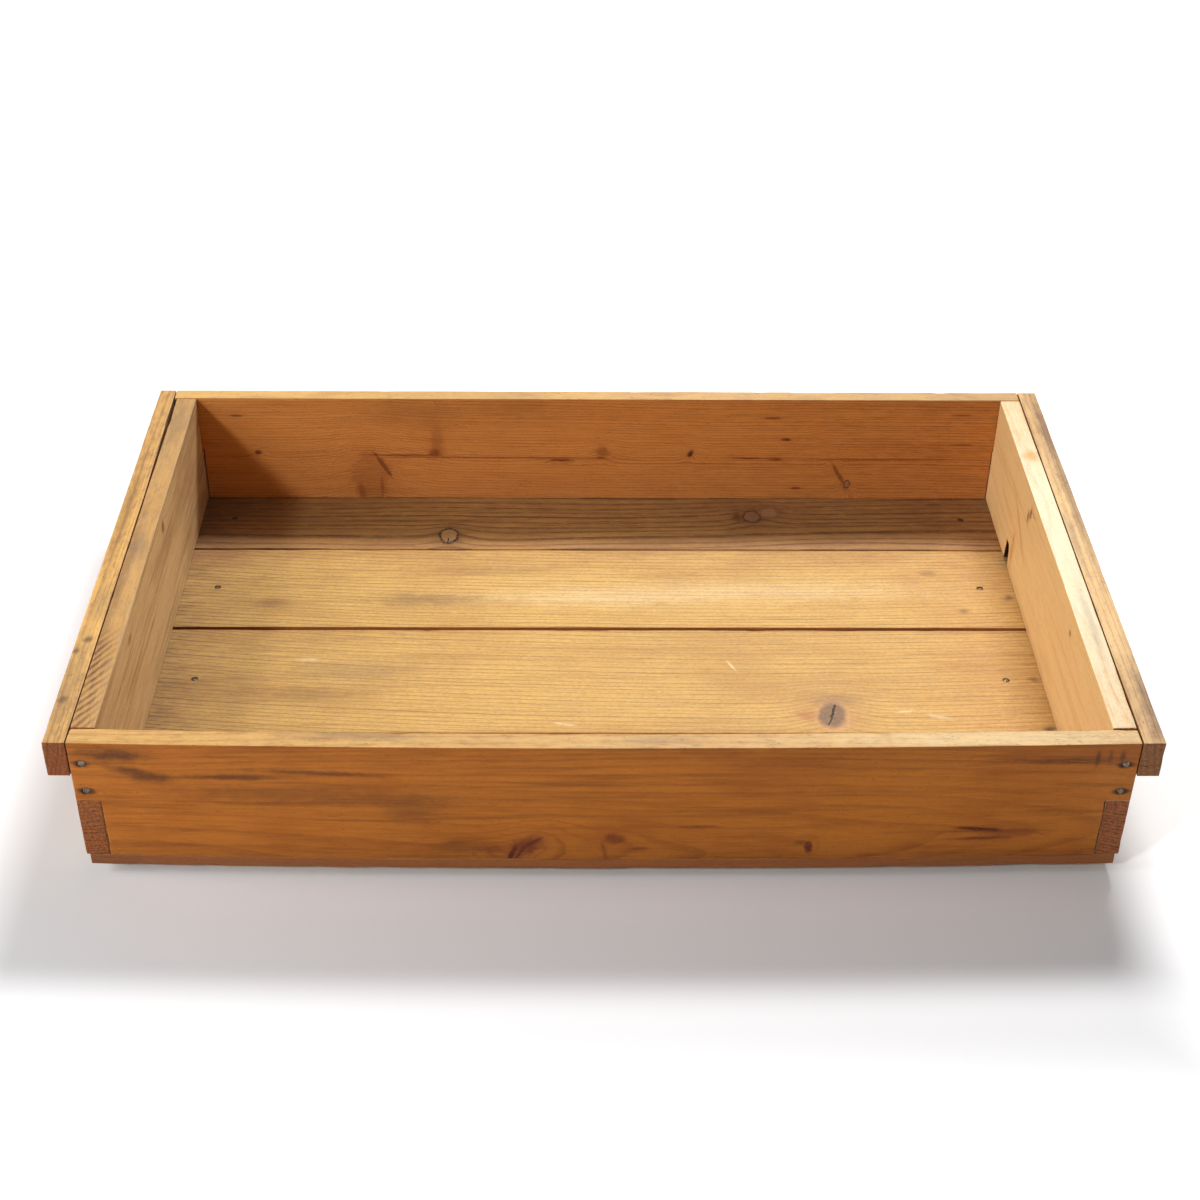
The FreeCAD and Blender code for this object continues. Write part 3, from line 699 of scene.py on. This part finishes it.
RIGHT_SIDE_KNOTS = [
    red_patch((60, 86), (2, 5), 0.7, 0, lean=0.4),
    *red_patches((66, 80, 2, 4, 0.6, 0), (-71, 84, 2, 2, 0.6, 0)),
    smudge((82, 60), (20, 2), 0.4, (190, 120, 60), lean=0.5),
    smudge((93, 33), (3, 13), 0.5, (190, 112, 46)),
    # Painted shade: near black inside the broken-out notch, so that the shallow recess looks deep.
    smudge((106, 22), (12, 18), 3.0, (8, 5, 4), soft=0.1, ragged=0.1, halo=0.0,
           within=(289.1, 289.8, 296)),
    smudge((112, 297), (6, 4), 0.8, (214, 158, 70), on_top=True),
    smudge((-80, 298), (30, 2), 0.2, GREY_STAIN, on_top=True),
]
LEFT_HANDLE_KNOTS = [
    *smudges((-99, -309, 2.6, 2.6, 0.8), (-110, -314, 2, 2, 0.8), (-156, -312, 3, 3, 0.8),
             on_top=True),
    *smudges((-60, -308, 16, 5, 0.35), (-140, -312, 46, 7, 0.4), colour=GREY_STAIN,
             on_top=True),
    smudge((40, -312), (60, 3), 0.4, on_top=True),
]
RIGHT_HANDLE_KNOTS = [
    *smudges((60, 314, 70, 2.5, 0.5), (150, 313, 40, 3, 0.5), (-160, 314, 34, 3, 0.6),
             on_top=True),
    smudge((10, 306), (30, 2), 0.3, GREY_STAIN, on_top=True),
]
REAR_KNOTS = [
    knot((-108.5, 138.5), (6.8, 8.8), push=-5, fill=0.75, rim=1.0, ragged=0.7, soft=0.08,
         colour=(188, 144, 90), halo=0.75, halo_colour=DARK_HALO, split=(1.5, -1.1, -0.3)),
    knot((113, 164), (6.5, 7.5), push=-5, fill=0.6, rim=0.8, ragged=0.6, soft=0.15,
         colour=(146, 106, 74), halo=0.7, halo_colour=DARK_HALO),
    knot((125, 170), (6, 6), push=-3, fill=0.5, ragged=1.6, soft=0.3, colour=(176, 132, 92),
         halo=0.4, halo_colour=DARK_HALO),
    smudge((102, 164), (3, 6), 0.8), smudge((290, 180), (6, 6), 0.5, GREY_STAIN),
]
MIDDLE_FRONT_KNOTS = [
    knot((147.5, -66.5), (11, 15.5), push=0, fill=0.7, ragged=0.5, soft=0.2,
         colour=(212, 158, 108), halo=0.4, halo_colour=PALE_HALO),
    knot((147.5, -66), (8.8, 12.6), push=-9, fill=0.85, ragged=0.5, soft=0.25, lean=-0.2,
         colour=KNOT_HEART, halo=0.0, halo_colour=PALE_HALO, split=(1.5, -0.2, 0.9)),
    knot((146, -72), (3, 6), push=0, fill=0.0, ragged=0.3, soft=0.3, colour=KNOT_HEART,
         halo=0.0, halo_colour=PALE_HALO, split=(0.8, -0.9, 0.9)),
    smudge((150, -50), (14, 5), 0.3, GREY_STAIN), smudge((130, -66), (6, 4), 0.5, (170, 96, 50)),
    smudge((-160, -20), (34, 7), 0.2, GREY_STAIN),
    *smudges((-190, -45, 26, 5, 0.2), (284, -29, 3, 2, 0.6), (285, -80, 3, 3, 0.8)),
    smudge((86, -14), (5, 0.8), 0.5, PALE_SCRATCH, lean=-1.1, ragged=0.8),
    smudge((195, -62), (5, 1.0), 0.4, PALE_SCRATCH, lean=0.2),
    smudge((216, -67), (6, 1.3), 0.3, PALE_SCRATCH, lean=-0.3),
    smudge((-24, -75), (6, 0.9), 0.4, PALE_SCRATCH, lean=-0.2),
    smudge((-194, -8), (6, 1.6), 0.25, PALE_SCRATCH),
]
MIDDLE_REAR_KNOTS = [
    *smudges((-225, 55, 9, 4, 0.3), (-110, 60, 30, 4, 0.2), (-70, 95, 30, 4, 0.15),
             (284, 63, 3, 3, 0.6), (250, 47, 3, 2, 0.5), (232, 92, 5, 3, 0.4),
             (-128, 59, 22, 7, 0.2)),
    *smudges((0, 62, 60, 7, 0.13), (120, 70, 80, 8, 0.1), colour=PALE_SCRATCH),
]
# The stains round nails: the place, and the half length and half width.
CORNER_STAINS = [(x, z, 7.0, 3.6) for x in (-SIDE_MIDDLE, SIDE_MIDDLE)
                 for z in UPPER_FINGER_LEVELS]
# A darker layer, some of grime and some painted shade: the part of the place that it
# follows, where it fades in and where it is full, how strong it is, and its colour.
# Every plank darkens towards both ends: at the left end grime together with a painted shadow of the
# left side board, at the right end a painted, softened shadow of the right side board.
FLOOR_END_GRIME_AND_SHADE = [(0, -150, -300, 0.5, (112, 78, 48)), (0, -252, -286, 0.75, (70, 50, 34)),
               (0, 222, 300, 0.5, (140, 90, 48))]


def floor_look(plank, seed, grime_and_shade, **more):
    """The look of a floor plank, with a stain round each of its short nails."""
    row = sum(PLANKS[plank]) / 2
    return dict(FLOOR_LOOK, seed=seed, grime_and_shade=FLOOR_END_GRIME_AND_SHADE + grime_and_shade, stains=[
        (-FOOT_NAIL_X, row, 2.6, 3.0), (FOOT_NAIL_X, row, 2.9, 3.0)], **more)


LOOKS = {
    "front_board": dict(
        WALL_LOOK, seed=1, tone=(1.06, 0.98, 0.6), early=(186, 114, 48), shine=0.2,
        late_colour=(144, 80, 30), blotch_colour=(156, 86, 32), stain=(96, 48, 20),
        top=(230, 184, 112), ring=3.4, pith=(22, -252), tilt=0.06, taper=0.05, wander=12,
        line=0.5, hair=0.7, blotch=0.6, streak=0.55, fibre=0.45, scuff=0.3,
        scuff_colour=(206, 138, 62), knots=FRONT_KNOTS, stains=CORNER_STAINS,
        grime_and_shade=[(1, 30, 14, 0.5, (80, 38, 16)), (1, 82, 97, 0.35, (104, 52, 24))]),
    "back_board": dict(
        WALL_LOOK, seed=2, shine=0.3, tone=(1.06, 1.12, 1.1), top=(214, 170, 98), ring=2.3,
        pith=(-300, 190), wander=9, uneven=1.2, blotch=0.25, streak=0.25, line=0.55,
        fibre=0.45, knots=BACK_KNOTS, stains=CORNER_STAINS,
        grime_and_shade=[(0, -40, 240, 0.4, (92, 44, 16))]),
    # The tone lifts this board's colour as painted light for its inner face, which lies in shade;
    # outer tints the outward face back down.
    "left_side_board": dict(
        WALL_LOOK, seed=3, tone=(1.6, 1.9, 2.4), early=(190, 152, 100), shine=0.3,
        late_colour=(150, 108, 64), blotch_colour=(156, 112, 66), line=0.6, uneven=3.0,
        top=(192, 144, 78), handled=0.4, streak=0.8, stain=(120, 80, 44), blotch=0.6,
        fibre=0.6, scuff=0.5, scuff_colour=(214, 184, 136), pith=(-200, -240),
        end=(164, 92, 36), outer=(2, -1, (0.68, 0.52, 0.38)),
        grime_and_shade=[(0, 20, 200, 0.4, (100, 66, 38))], knots=LEFT_SIDE_KNOTS,
        strokes=(-205, -95, 8.0, 1.5, (-289, -299), (98, 54, 22))),
    "right_side_board": dict(
        WALL_LOOK, seed=4, tone=(1.05, 1.15, 1.25), early=(236, 190, 128), shine=0.25,
        late_colour=(206, 150, 90), blotch_colour=(228, 176, 112), stain=(190, 128, 70),
        scuff_colour=(244, 208, 152), line=0.35, top=(247, 233, 196), handled=0.08,
        pith=(-200, 250), knots=RIGHT_SIDE_KNOTS, grime_and_shade=[(1, 24, 13, 0.3, (150, 92, 50))],
        top_grime=[(0, 85, 135, 0.75, TAN_DIRT), (0, -85, -125, 0.7, TAN_DIRT)]),
    "left_handle_batten": dict(
        HANDLE_LOOK, seed=5, top=(246, 194, 108), handled=0.4, outside=(2, 1, PAINTED_GAP_SHADE),
        grime_and_shade=[(0, -90, -180, 0.7, (136, 100, 70)), (0, -80, -20, 0.5, BATTEN_DIRT),
               (0, 60, 120, 0.5, BATTEN_DIRT)], knots=LEFT_HANDLE_KNOTS),
    "right_handle_batten": dict(
        HANDLE_LOOK, seed=6, top=(239, 198, 134), handled=0.2, end=(150, 96, 52),
        end_late=(104, 66, 40), outside=(2, -1, PAINTED_GAP_SHADE), knots=RIGHT_HANDLE_KNOTS,
        grime_and_shade=[(0, 70, 120, 0.72, RIGHT_BATTEN_DIRT), (0, -95, -135, 0.7, RIGHT_BATTEN_DIRT)]),
    "floor_plank_front": floor_look(
        "floor_plank_front", 7, [(1, -190, -193, 0.96, (138, 76, 33))],
        outside=(1, -1, (152, 86, 34))),
    "floor_plank_middle_front": floor_look(
        "floor_plank_middle_front", 8, [(1, 20, 25, 0.5, DARK_EDGE)],
        knots=MIDDLE_FRONT_KNOTS, sag=(0.00016, 60), tone=(0.89, 0.84, 0.65),
        outside=(1, 1, DARK_EDGE)),
    "floor_plank_middle_rear": floor_look(
        "floor_plank_middle_rear", 9,
        [(1, 31, 27.5, 0.4, DARK_EDGE), (1, 80, 124, 0.7, (150, 96, 52))],
        knots=MIDDLE_REAR_KNOTS, sag=(0.00012, 40), outside=(1, -1, LIT_EDGE)),
    # The rear plank is darker behind y 132, a painted shadow of the back board, and darker towards
    # its right end, painted shade where the lamps light it more than the left end.
    "floor_plank_rear": floor_look(
        "floor_plank_rear", 10,
        [(1, 132, 150, 0.6, (90, 58, 38)), (0, -20, 240, 0.5, (84, 48, 30))],
        early=(216, 170, 106), late_colour=(92, 54, 28), uneven=2.6, stain=(100, 66, 40),
        ring=6.0, late=0.5, tone=(0.82, 0.72, 0.6), blotch_colour=(180, 132, 82),
        pith=(60, 55), wander=22, tilt=0.02, line=0.85, streak=0.5,
        scuff_colour=(214, 172, 124), knots=REAR_KNOTS),
    "left_foot_batten": dict(FLOOR_LOOK, seed=11, pith=(50, 60)),
    "right_foot_batten": dict(FLOOR_LOOK, seed=12, pith=(-50, 60)),
}


# ---------------- nails, holes, cracks

NAIL_SIDES = 20
SHANK, HEAD = 1.0, 2.25
BRAD_SHANK, BRAD_HEAD = 0.8, 1.8
HEAD_THICKNESS = 0.8
POINT = 3.0
HOLE_FIT = 0.08
HOLE_MOUTH = 1.5

# Where the heads lie on each face, and how long the nails are.
FRONT_HEADS, BACK_HEADS = -194.76, 199.05
SIDE_HEADS, HANDLE_HEADS = 302.8, 316.2
PLANK_HEADS, FOOT_HEADS = 7.2, 14.3
CORNER_NAIL, HANDLE_NAIL, PLANK_NAIL, FOOT_NAIL = 32, 23.7, 28, 13

PLANK_ROWS = [FRONT + row for row in (18, 91.8, 129.2, 201.6, 240.4, 296.8, 334.2, 376)]
EDGE_COLUMNS = (-240, -120, 0, 120, 240)
FINGER_ROWS = (-188.25, 193.5)
LOWER_FINGER_LEVELS = (25.5, 44.5)
HANDLE_ROWS = (-154.75, -50.12, 54.62, 159.25)
HANDLE_LEVEL = 87.25


def nail_rows():
    """Every node of nails: the tops of the heads, the way they point, their length, and
    whether they are the short ones."""
    rows = {}
    for node, y, way in (("front", FRONT_HEADS, 1), ("back", BACK_HEADS, -1)):
        rows[f"{node}_corner_nails"] = [
            ((x, y, z), (0, way, 0), CORNER_NAIL, False)
            for x in (-SIDE_MIDDLE, SIDE_MIDDLE) for z in UPPER_FINGER_LEVELS]
    for name, side in (("left", -1), ("right", 1)):
        inward = (-side, 0, 0)
        rows[f"{name}_finger_nails"] = [
            ((side * SIDE_HEADS, y, z), inward, CORNER_NAIL, False)
            for y in FINGER_ROWS for z in LOWER_FINGER_LEVELS]
        rows[f"{name}_handle_nails"] = [
            ((side * HANDLE_HEADS, y, HANDLE_LEVEL), inward, HANDLE_NAIL, False)
            for y in HANDLE_ROWS]
        rows[f"{name}_plank_nails"] = [
            ((side * SIDE_MIDDLE, y, PLANK_HEADS), UP, PLANK_NAIL, False) for y in PLANK_ROWS]
        rows[f"{name}_foot_nails"] = [
            ((side * FOOT_NAIL_X, sum(edges) / 2, FOOT_HEADS), DOWN, FOOT_NAIL, True)
            for edges in PLANKS.values()]
    for node, y, bow in (("front", FINGER_ROWS[0], 1), ("rear", FINGER_ROWS[1], 0)):
        rows[f"{node}_edge_nails"] = [((x, y - bow * bow_at(x), PLANK_HEADS), UP, PLANK_NAIL,
                                       False) for x in EDGE_COLUMNS]
    return rows


def tube(rings):
    """Points and faces of a closed shape through rings of points."""
    sides = len(rings[0])
    faces = []
    for above in range(0, (len(rings) - 1) * sides, sides):
        for turn in range(sides):
            here, following = above + turn, above + (turn + 1) % sides
            faces.append((here, here + sides, following + sides, following))
    faces.append(tuple(range(sides)))
    faces.append(tuple(reversed(range((len(rings) - 1) * sides, len(rings) * sides))))
    return np.concatenate(rings), faces


def lathe(profile):
    """A turned shape along -Z, from (radius, depth) pairs."""
    angles = [math.tau * turn / NAIL_SIDES for turn in range(NAIL_SIDES)]
    return tube([[(radius * math.cos(angle), radius * math.sin(angle), -depth)
                  for angle in angles] for radius, depth in profile])


def nail_profile(length, is_brad):
    """A hammered nail: a slightly domed head, a shank and a point."""
    shank, head = (BRAD_SHANK, BRAD_HEAD) if is_brad else (SHANK, HEAD)
    return [(0.25 * head, 0.0), (0.7 * head, 0.05), (0.93 * head, 0.16), (head, 0.34),
            (0.97 * head, HEAD_THICKNESS - 0.1), (shank + 0.2, HEAD_THICKNESS),
            (shank, HEAD_THICKNESS + 0.5), (shank, length - POINT), (0.2, length)]


def hole_profile(length, is_brad):
    """The hole that a nail fills, open above its head."""
    shank, head = (BRAD_SHANK, BRAD_HEAD) if is_brad else (SHANK, HEAD)
    wide, narrow = head + HOLE_FIT, shank + HOLE_FIT
    return [(wide + 0.25, -HOLE_MOUTH), (wide, 0.1), (wide, HEAD_THICKNESS + HOLE_FIT),
            (narrow, HEAD_THICKNESS + 0.6), (narrow, length - POINT), (0.25, length + HOLE_FIT)]


def turned_to(points, place, way):
    """Points of a shape along -Z, turned to point the given way from a place."""
    turn = Vector((0, 0, -1)).rotation_difference(Vector(way)).to_matrix()
    return points @ np.array(turn).T + np.array(place)


def gather(shapes):
    """Several shapes' points and faces as one."""
    points, faces, count = [], [], 0
    for shape_points, shape_faces in shapes:
        points.append(shape_points)
        faces.extend(tuple(index + count for index in face) for face in shape_faces)
        count += len(shape_points)
    return np.concatenate(points), faces


def make_nails(node, rows):
    """The nails of one CAD node, each hammered a little differently."""
    shapes = []
    for index, (place, way, length, is_brad) in enumerate(rows):
        points, faces = lathe(nail_profile(length, is_brad))
        dents = lumps(points + index * 11.7, (1.6, 1.6, 50), 21) - 0.5
        is_head = points[:, 2] > -HEAD_THICKNESS
        points[is_head] *= (1 + 0.05 * dents[is_head])[:, None]
        points[:, 2] = np.minimum(points[:, 2] - 0.12 * is_head * (dents + 0.5), 0)
        shapes.append((turned_to(points, place, way), faces))
    points, faces = gather(shapes)
    low, high = (np.array(corner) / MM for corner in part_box(node))
    piece = new_piece(f"driven_{node}", np.clip(points, low, high), faces, 50)
    piece.data.materials.append(RUSTY_STEEL if rows[0][3] else STEEL)
    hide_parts(node)
    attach(piece, "root")


def nail_holes(low, high):
    """The holes that nails make in a board with this box."""
    holes = []
    for rows in NAILS.values():
        for place, way, length, is_brad in rows:
            ends = np.array([place, np.array(place) + np.array(way) * length])
            if np.all(ends.max(0) > low - HEAD) and np.all(ends.min(0) < high + HEAD):
                points, faces = lathe(hole_profile(length, is_brad))
                holes.append((turned_to(points, place, way), faces))
    return holes


CRACK_MOUTH = 1.5
# Cracks: the board, the face's outward direction, then points with half width and depth.
CRACKS = [
    ("front_board", (0, -1, 0), [
        ((262, -196.2, 88.0), 0.03, 0.3), ((270, -196.0, 87.2), 0.16, 1.2),
        ((278, -195.8, 86.3), 0.22, 2.0), ((286, -195.5, 85.0), 0.3, 2.6),
        ((293, -195.1, 84.2), 0.34, 3.0), ((299, -194.9, 83.8), 0.26, 2.0),
        ((303.5, -194.75, 83.4), 0.2, 1.4)]),
    ("right_handle_batten", (0, -1, 0), [
        ((303.0, -194.75, 82.8), 0.28, 3.0), ((307, -194.75, 82.6), 0.25, 3.0),
        ((311, -194.75, 83.2), 0.2, 2.5), ((315.6, -194.75, 84.3), 0.1, 1.0)]),
    ("right_side_board", (-1, 0, 0), [
        ((289, 60, 87.0), 0.05, 0.3), ((289, 56, 88.4), 0.25, 1.2),
        ((289, 51, 88.2), 0.22, 1.2), ((289, 47, 90.0), 0.05, 0.4)]),
]


def crack_cutter(face_way, stations):
    """A thin wedge along a crack, open above the face."""
    outward = np.array(face_way, float)
    run = np.subtract(stations[-1][0], stations[0][0])
    beside = np.cross(outward, run / np.linalg.norm(run))
    return tube([[np.array(place) + beside * side * half + outward * out
                  for side, out in ((1, CRACK_MOUTH), (-1, CRACK_MOUTH), (0, -depth))]
                 for place, half, depth in stations])


# Places where wood has broken away: the board and the corners of each missing lump.
BREAKS = [
    ("right_side_board", [(285, 98.6, 13), (285, 113.4, 13), (285, 109.4, 32.3),
                          (285, 102.9, 32.3), (293.9, 99.0, 13), (293.6, 112.8, 13),
                          (293.2, 108.6, 31.2), (293.5, 103.6, 31.6)]),
]
BOX_FACES = [(0, 1, 2, 3), (7, 6, 5, 4), (0, 4, 5, 1), (1, 5, 6, 2), (2, 6, 7, 3), (3, 7, 4, 0)]


def cut(piece, cutters):
    """Take the cutters' shapes, which stand apart from each other, out of the piece."""
    if not cutters:
        return
    tool = new_piece("cutter", *gather(cutters), 30)
    face_out(tool.data)
    modifier = piece.modifiers.new("cut", "BOOLEAN")
    modifier.operation = "DIFFERENCE"
    modifier.solver = "EXACT"
    modifier.object = tool
    bpy.context.view_layer.update()
    shape = piece.evaluated_get(bpy.context.evaluated_depsgraph_get())
    mesh = bpy.data.meshes.new_from_object(shape)
    piece.modifiers.clear()
    piece.data = mesh
    mesh.name = piece.name
    bpy.data.objects.remove(tool)


def face_out(mesh):
    """Turn all faces of closed shapes outwards."""
    shape = bmesh.new()
    shape.from_mesh(mesh)
    bmesh.ops.recalc_face_normals(shape, faces=shape.faces)
    shape.to_mesh(mesh)
    shape.free()


# ---------------- boards

def corner_boxes(front_face, back_face):
    """A front or back board: the full length above, short of the lower fingers below."""
    return [((-HALF_LENGTH, front_face, UPPER_FINGER), (HALF_LENGTH, back_face, RIM)),
            ((-NOTCH, front_face, WALL_FOOT), (NOTCH, back_face, RIM))]


def side_boxes(side):
    """A side board: the full depth below, short of the upper fingers above."""
    left, right = sorted((side * SIDE_INNER, side * HALF_LENGTH))
    return [((left, FRONT, WALL_FOOT), (right, BACK, FINGER_TOP)),
            ((left, SHOULDERS[0], WALL_FOOT), (right, SHOULDERS[1], RIM))]


def handle_boxes(side):
    """A handle batten."""
    near = HALF_LENGTH + HANDLE_GAP
    left, right = sorted((side * near, side * (near + HANDLE_THICKNESS)))
    return [((left, FRONT, HANDLE_FOOT), (right, BACK, RIM))]


def plank_boxes(front_edge, rear_edge):
    """A floor plank."""
    return [((-PLANK_END, front_edge, PLANK_FOOT), (PLANK_END, rear_edge, WALL_FOOT))]


def foot_boxes(side):
    """A cross batten under the floor."""
    left, right = sorted((side * FOOT_INNER, side * FOOT_OUTER))
    return [((left, FOOT_ENDS[0], 0.0), (right, FOOT_ENDS[1], PLANK_FOOT))]


# The grid steps of each kind of board along x, y and z.
WALL_STEPS_X = (4.5, 3.2, 4.0)
WALL_STEPS_Y = (3.5, 4.5, 4.0)
HANDLE_STEPS = (3.0, 4.5, 3.5)
PLANK_STEPS = (5, 4.5, 3.5)
FOOT_STEPS = (4.0, 5, 3.5)
# Each board's name, axes, boxes, grid steps and slot.
BOARDS = [
    ("front_board", ALONG_X, corner_boxes(FRONT, FRONT_INNER), WALL_STEPS_X, "wall_wood"),
    ("back_board", ALONG_X, corner_boxes(BACK_INNER, BACK), WALL_STEPS_X, "wall_wood"),
    ("left_side_board", ALONG_Y, side_boxes(-1), WALL_STEPS_Y, "wall_wood"),
    ("right_side_board", ALONG_Y, side_boxes(1), WALL_STEPS_Y, "wall_wood"),
    ("left_handle_batten", ALONG_Y, handle_boxes(-1), HANDLE_STEPS, "handle_wood"),
    ("right_handle_batten", ALONG_Y, handle_boxes(1), HANDLE_STEPS, "handle_wood"),
    *((plank, PLANKWISE, plank_boxes(*edges), PLANK_STEPS, "floor_wood")
      for plank, edges in PLANKS.items()),
    ("left_foot_batten", FOOTWISE, foot_boxes(-1), FOOT_STEPS, "batten_wood"),
    ("right_foot_batten", FOOTWISE, foot_boxes(1), FOOT_STEPS, "batten_wood"),
]


def bend_board(name, points):
    """Give a board its own bend, away from plain boxes."""
    x, y = points[:, 0], points[:, 1]
    if name == "front_board":
        y -= bow_at(x)
    elif name == "floor_plank_front":
        share = np.clip((y - FRONT_PLANK_REAR) / (FRONT - FRONT_PLANK_REAR), 0, 1)
        y -= bow_at(x) * share
    elif name == "left_handle_batten":
        run = np.clip((y - (BACK - HANDLE_LIFT_RUN)) / HANDLE_LIFT_RUN, 0, 1)
        inner_share = np.clip((x + HALF_LENGTH + HANDLE_GAP + HANDLE_THICKNESS)
                              / HANDLE_THICKNESS, 0, 1)
        x -= HANDLE_LIFT * run * inner_share


# The radius that every edge has, what wear and chips add to it at most, and how much of
# the noise makes chips.
EDGE_RADIUS = 0.35
EDGE_WEAR = 0.9
CHIP = 1.3
CHIP_SHARE = 0.28
# How far the faces lie below the CAD's at most.
SUNK = 0.22


def worn_skin(boxes, steps):
    """The skin of a board with worn and chipped edges and slightly uneven faces."""
    points, faces = skin_of_boxes(boxes, steps)
    wear = lumps(points, (23, 23, 23), 5)
    chips = np.clip(lumps(points, (13, 13, 9), 31) - (1 - CHIP_SHARE), 0, 1) / CHIP_SHARE
    points, normal = round_off(points, boxes, EDGE_RADIUS + EDGE_WEAR * wear ** 2 + CHIP * chips)
    points -= normal * (SUNK * lumps(points, (70, 70, 40), 9))[:, None]
    return points, faces


def make_board(name, axes, boxes, steps, slot):
    """One worn board in the place of its CAD node."""
    points, faces = worn_skin(np.array(boxes, float), steps)
    bend_board(name, points)
    low, high = (np.array(corner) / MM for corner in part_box(name))
    points = np.clip(points, low, high)
    if name == "back_board":
        points[:, 0] -= BACK_END_PROUD * (points[:, 0] < END_GRIP - HALF_LENGTH)
    piece = new_piece(f"worn_{name}", points, faces, 40)
    cut(piece, nail_holes(low, high))
    cut(piece, [crack_cutter(way, stations) for board, way, stations in CRACKS
                if board == name])
    cut(piece, [(np.array(corners, float), BOX_FACES) for board, corners in BREAKS
                if board == name])
    piece.data.materials.append(Wood(f"wood_{name}", axes, LOOKS[name]).finish_wood())
    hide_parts(name)
    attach(piece, "root")


# ---------------- camera, light, floor

CAMERA_PLACE = (-0.01842, -1.04106, 0.81373)
CAMERA_HEADING = -0.957
CAMERA_TILT = 90 - 35.989
CAMERA_ROLL = 0.659
CAMERA_LENS = 59.0
SENSOR_WIDTH = 36.0

WORLD_STRENGTH = 0.08
# The lamps: name, place, width and height, and power.
LAMPS = [
    ("key", (0.50, 1.52, 2.0), (1.0, 0.4), 63),
    ("fill", (-1.02, -1.2, 1.02), (0.2, 0.2), 13),
    ("side", (-1.9, -0.35, 1.0), (0.8, 0.8), 19),
]
FLOOR_COLOUR = (239, 239, 240)
FLOOR_HALF = 20000
# The floor glows outside this rectangle: its middle along x, half its width, half its depth.
FLOOR_GLOW = 0.3
GLOW_PLACE = (-0.03, 0.37, 0.37)
# Where the glow sets in, and where the floor turns white, in steps of the rectangle.
GLOW_EDGE = (0.85, 1.05)
WHITE_EDGE = (3.0, 8.0)


def make_camera():
    """The camera at the photograph's viewing angle."""
    camera = bpy.data.cameras.new("camera")
    camera.lens = CAMERA_LENS
    camera.sensor_width = SENSOR_WIDTH
    holder = bpy.data.objects.new("camera", camera)
    holder.matrix_world = (Matrix.Translation(CAMERA_PLACE)
                           @ Matrix.Rotation(math.radians(CAMERA_HEADING), 4, "Z")
                           @ Matrix.Rotation(math.radians(CAMERA_TILT), 4, "X")
                           @ Matrix.Rotation(math.radians(CAMERA_ROLL), 4, "Z"))
    bpy.context.scene.collection.objects.link(holder)
    bpy.context.scene.camera = holder


def make_lamp(name, place, size, power):
    """A soft lamp, wide and high as given, that points at the tray's middle."""
    lamp = bpy.data.lights.new(name, "AREA")
    lamp.shape = "RECTANGLE"
    lamp.size, lamp.size_y = size
    lamp.energy = power
    holder = bpy.data.objects.new(name, lamp)
    holder.location = place
    holder.rotation_euler = Vector(place).to_track_quat("Z", "Y").to_euler()
    bpy.context.scene.collection.objects.link(holder)


def make_studio():
    """A world that looks white and gives little light, and the lamps."""
    world = bpy.data.worlds.new("studio")
    bpy.context.scene.world = world
    graph = Graph(world)
    background = graph.node("ShaderNodeBackground", {
        "Color": (1, 1, 1, 1), "Strength": graph.math("MAXIMUM", graph.seen(), WORLD_STRENGTH)})
    graph.node("ShaderNodeOutputWorld", {"Surface": background.outputs[0]})
    for lamp in LAMPS:
        make_lamp(*lamp)


def make_floor():
    """A pale floor that keeps the tray's shadow, and shows white farther out."""
    graph = Graph(bpy.data.materials.new("studio_floor"))
    source = graph.node("ShaderNodeTexCoord", ())
    middle, width, depth = GLOW_PLACE
    place = graph.vector("MULTIPLY_ADD", source.outputs["Object"], (1 / width, 1 / depth, 0),
                         (-middle / width, 0, 0))
    place = graph.vector("ABSOLUTE", place.outputs[0])
    parts = graph.split(place.outputs[0])
    away = graph.math("MAXIMUM", parts[0], parts[1])
    light = graph.total(graph.step(away, *GLOW_EDGE, 0.0, FLOOR_GLOW),
                        graph.step(away, *WHITE_EDGE, 0.0, 1 - FLOOR_GLOW))
    glow = graph.node("ShaderNodeEmission", {
        "Color": (1, 1, 1, 1), "Strength": graph.times(graph.seen(), light)})
    cloth = graph.node("ShaderNodeBsdfDiffuse", {"Color": linear(FLOOR_COLOUR)})
    both = graph.node("ShaderNodeAddShader", (glow.outputs[0], cloth.outputs[0]))
    graph.node("ShaderNodeOutputMaterial", {"Surface": both.outputs[0]})
    corners = [(FLOOR_HALF * x, FLOOR_HALF * y, 0) for x, y in ((-1, -1), (1, -1), (1, 1), (-1, 1))]
    floor = new_piece("studio_floor", corners, [(0, 1, 2, 3)], 40)
    floor.data.materials.append(graph.owner)


make_camera()
make_studio()
make_floor()
NAILS = nail_rows()
STEEL = nail_steel("nail_steel", (132, 122, 104), (88, 62, 42))
RUSTY_STEEL = nail_steel("rusty_nail_steel", (104, 88, 68), (46, 30, 20))
for board in BOARDS:
    make_board(*board)
for node, rows in NAILS.items():
    make_nails(node, rows)
bpy.context.scene.view_settings.view_transform = "Standard"
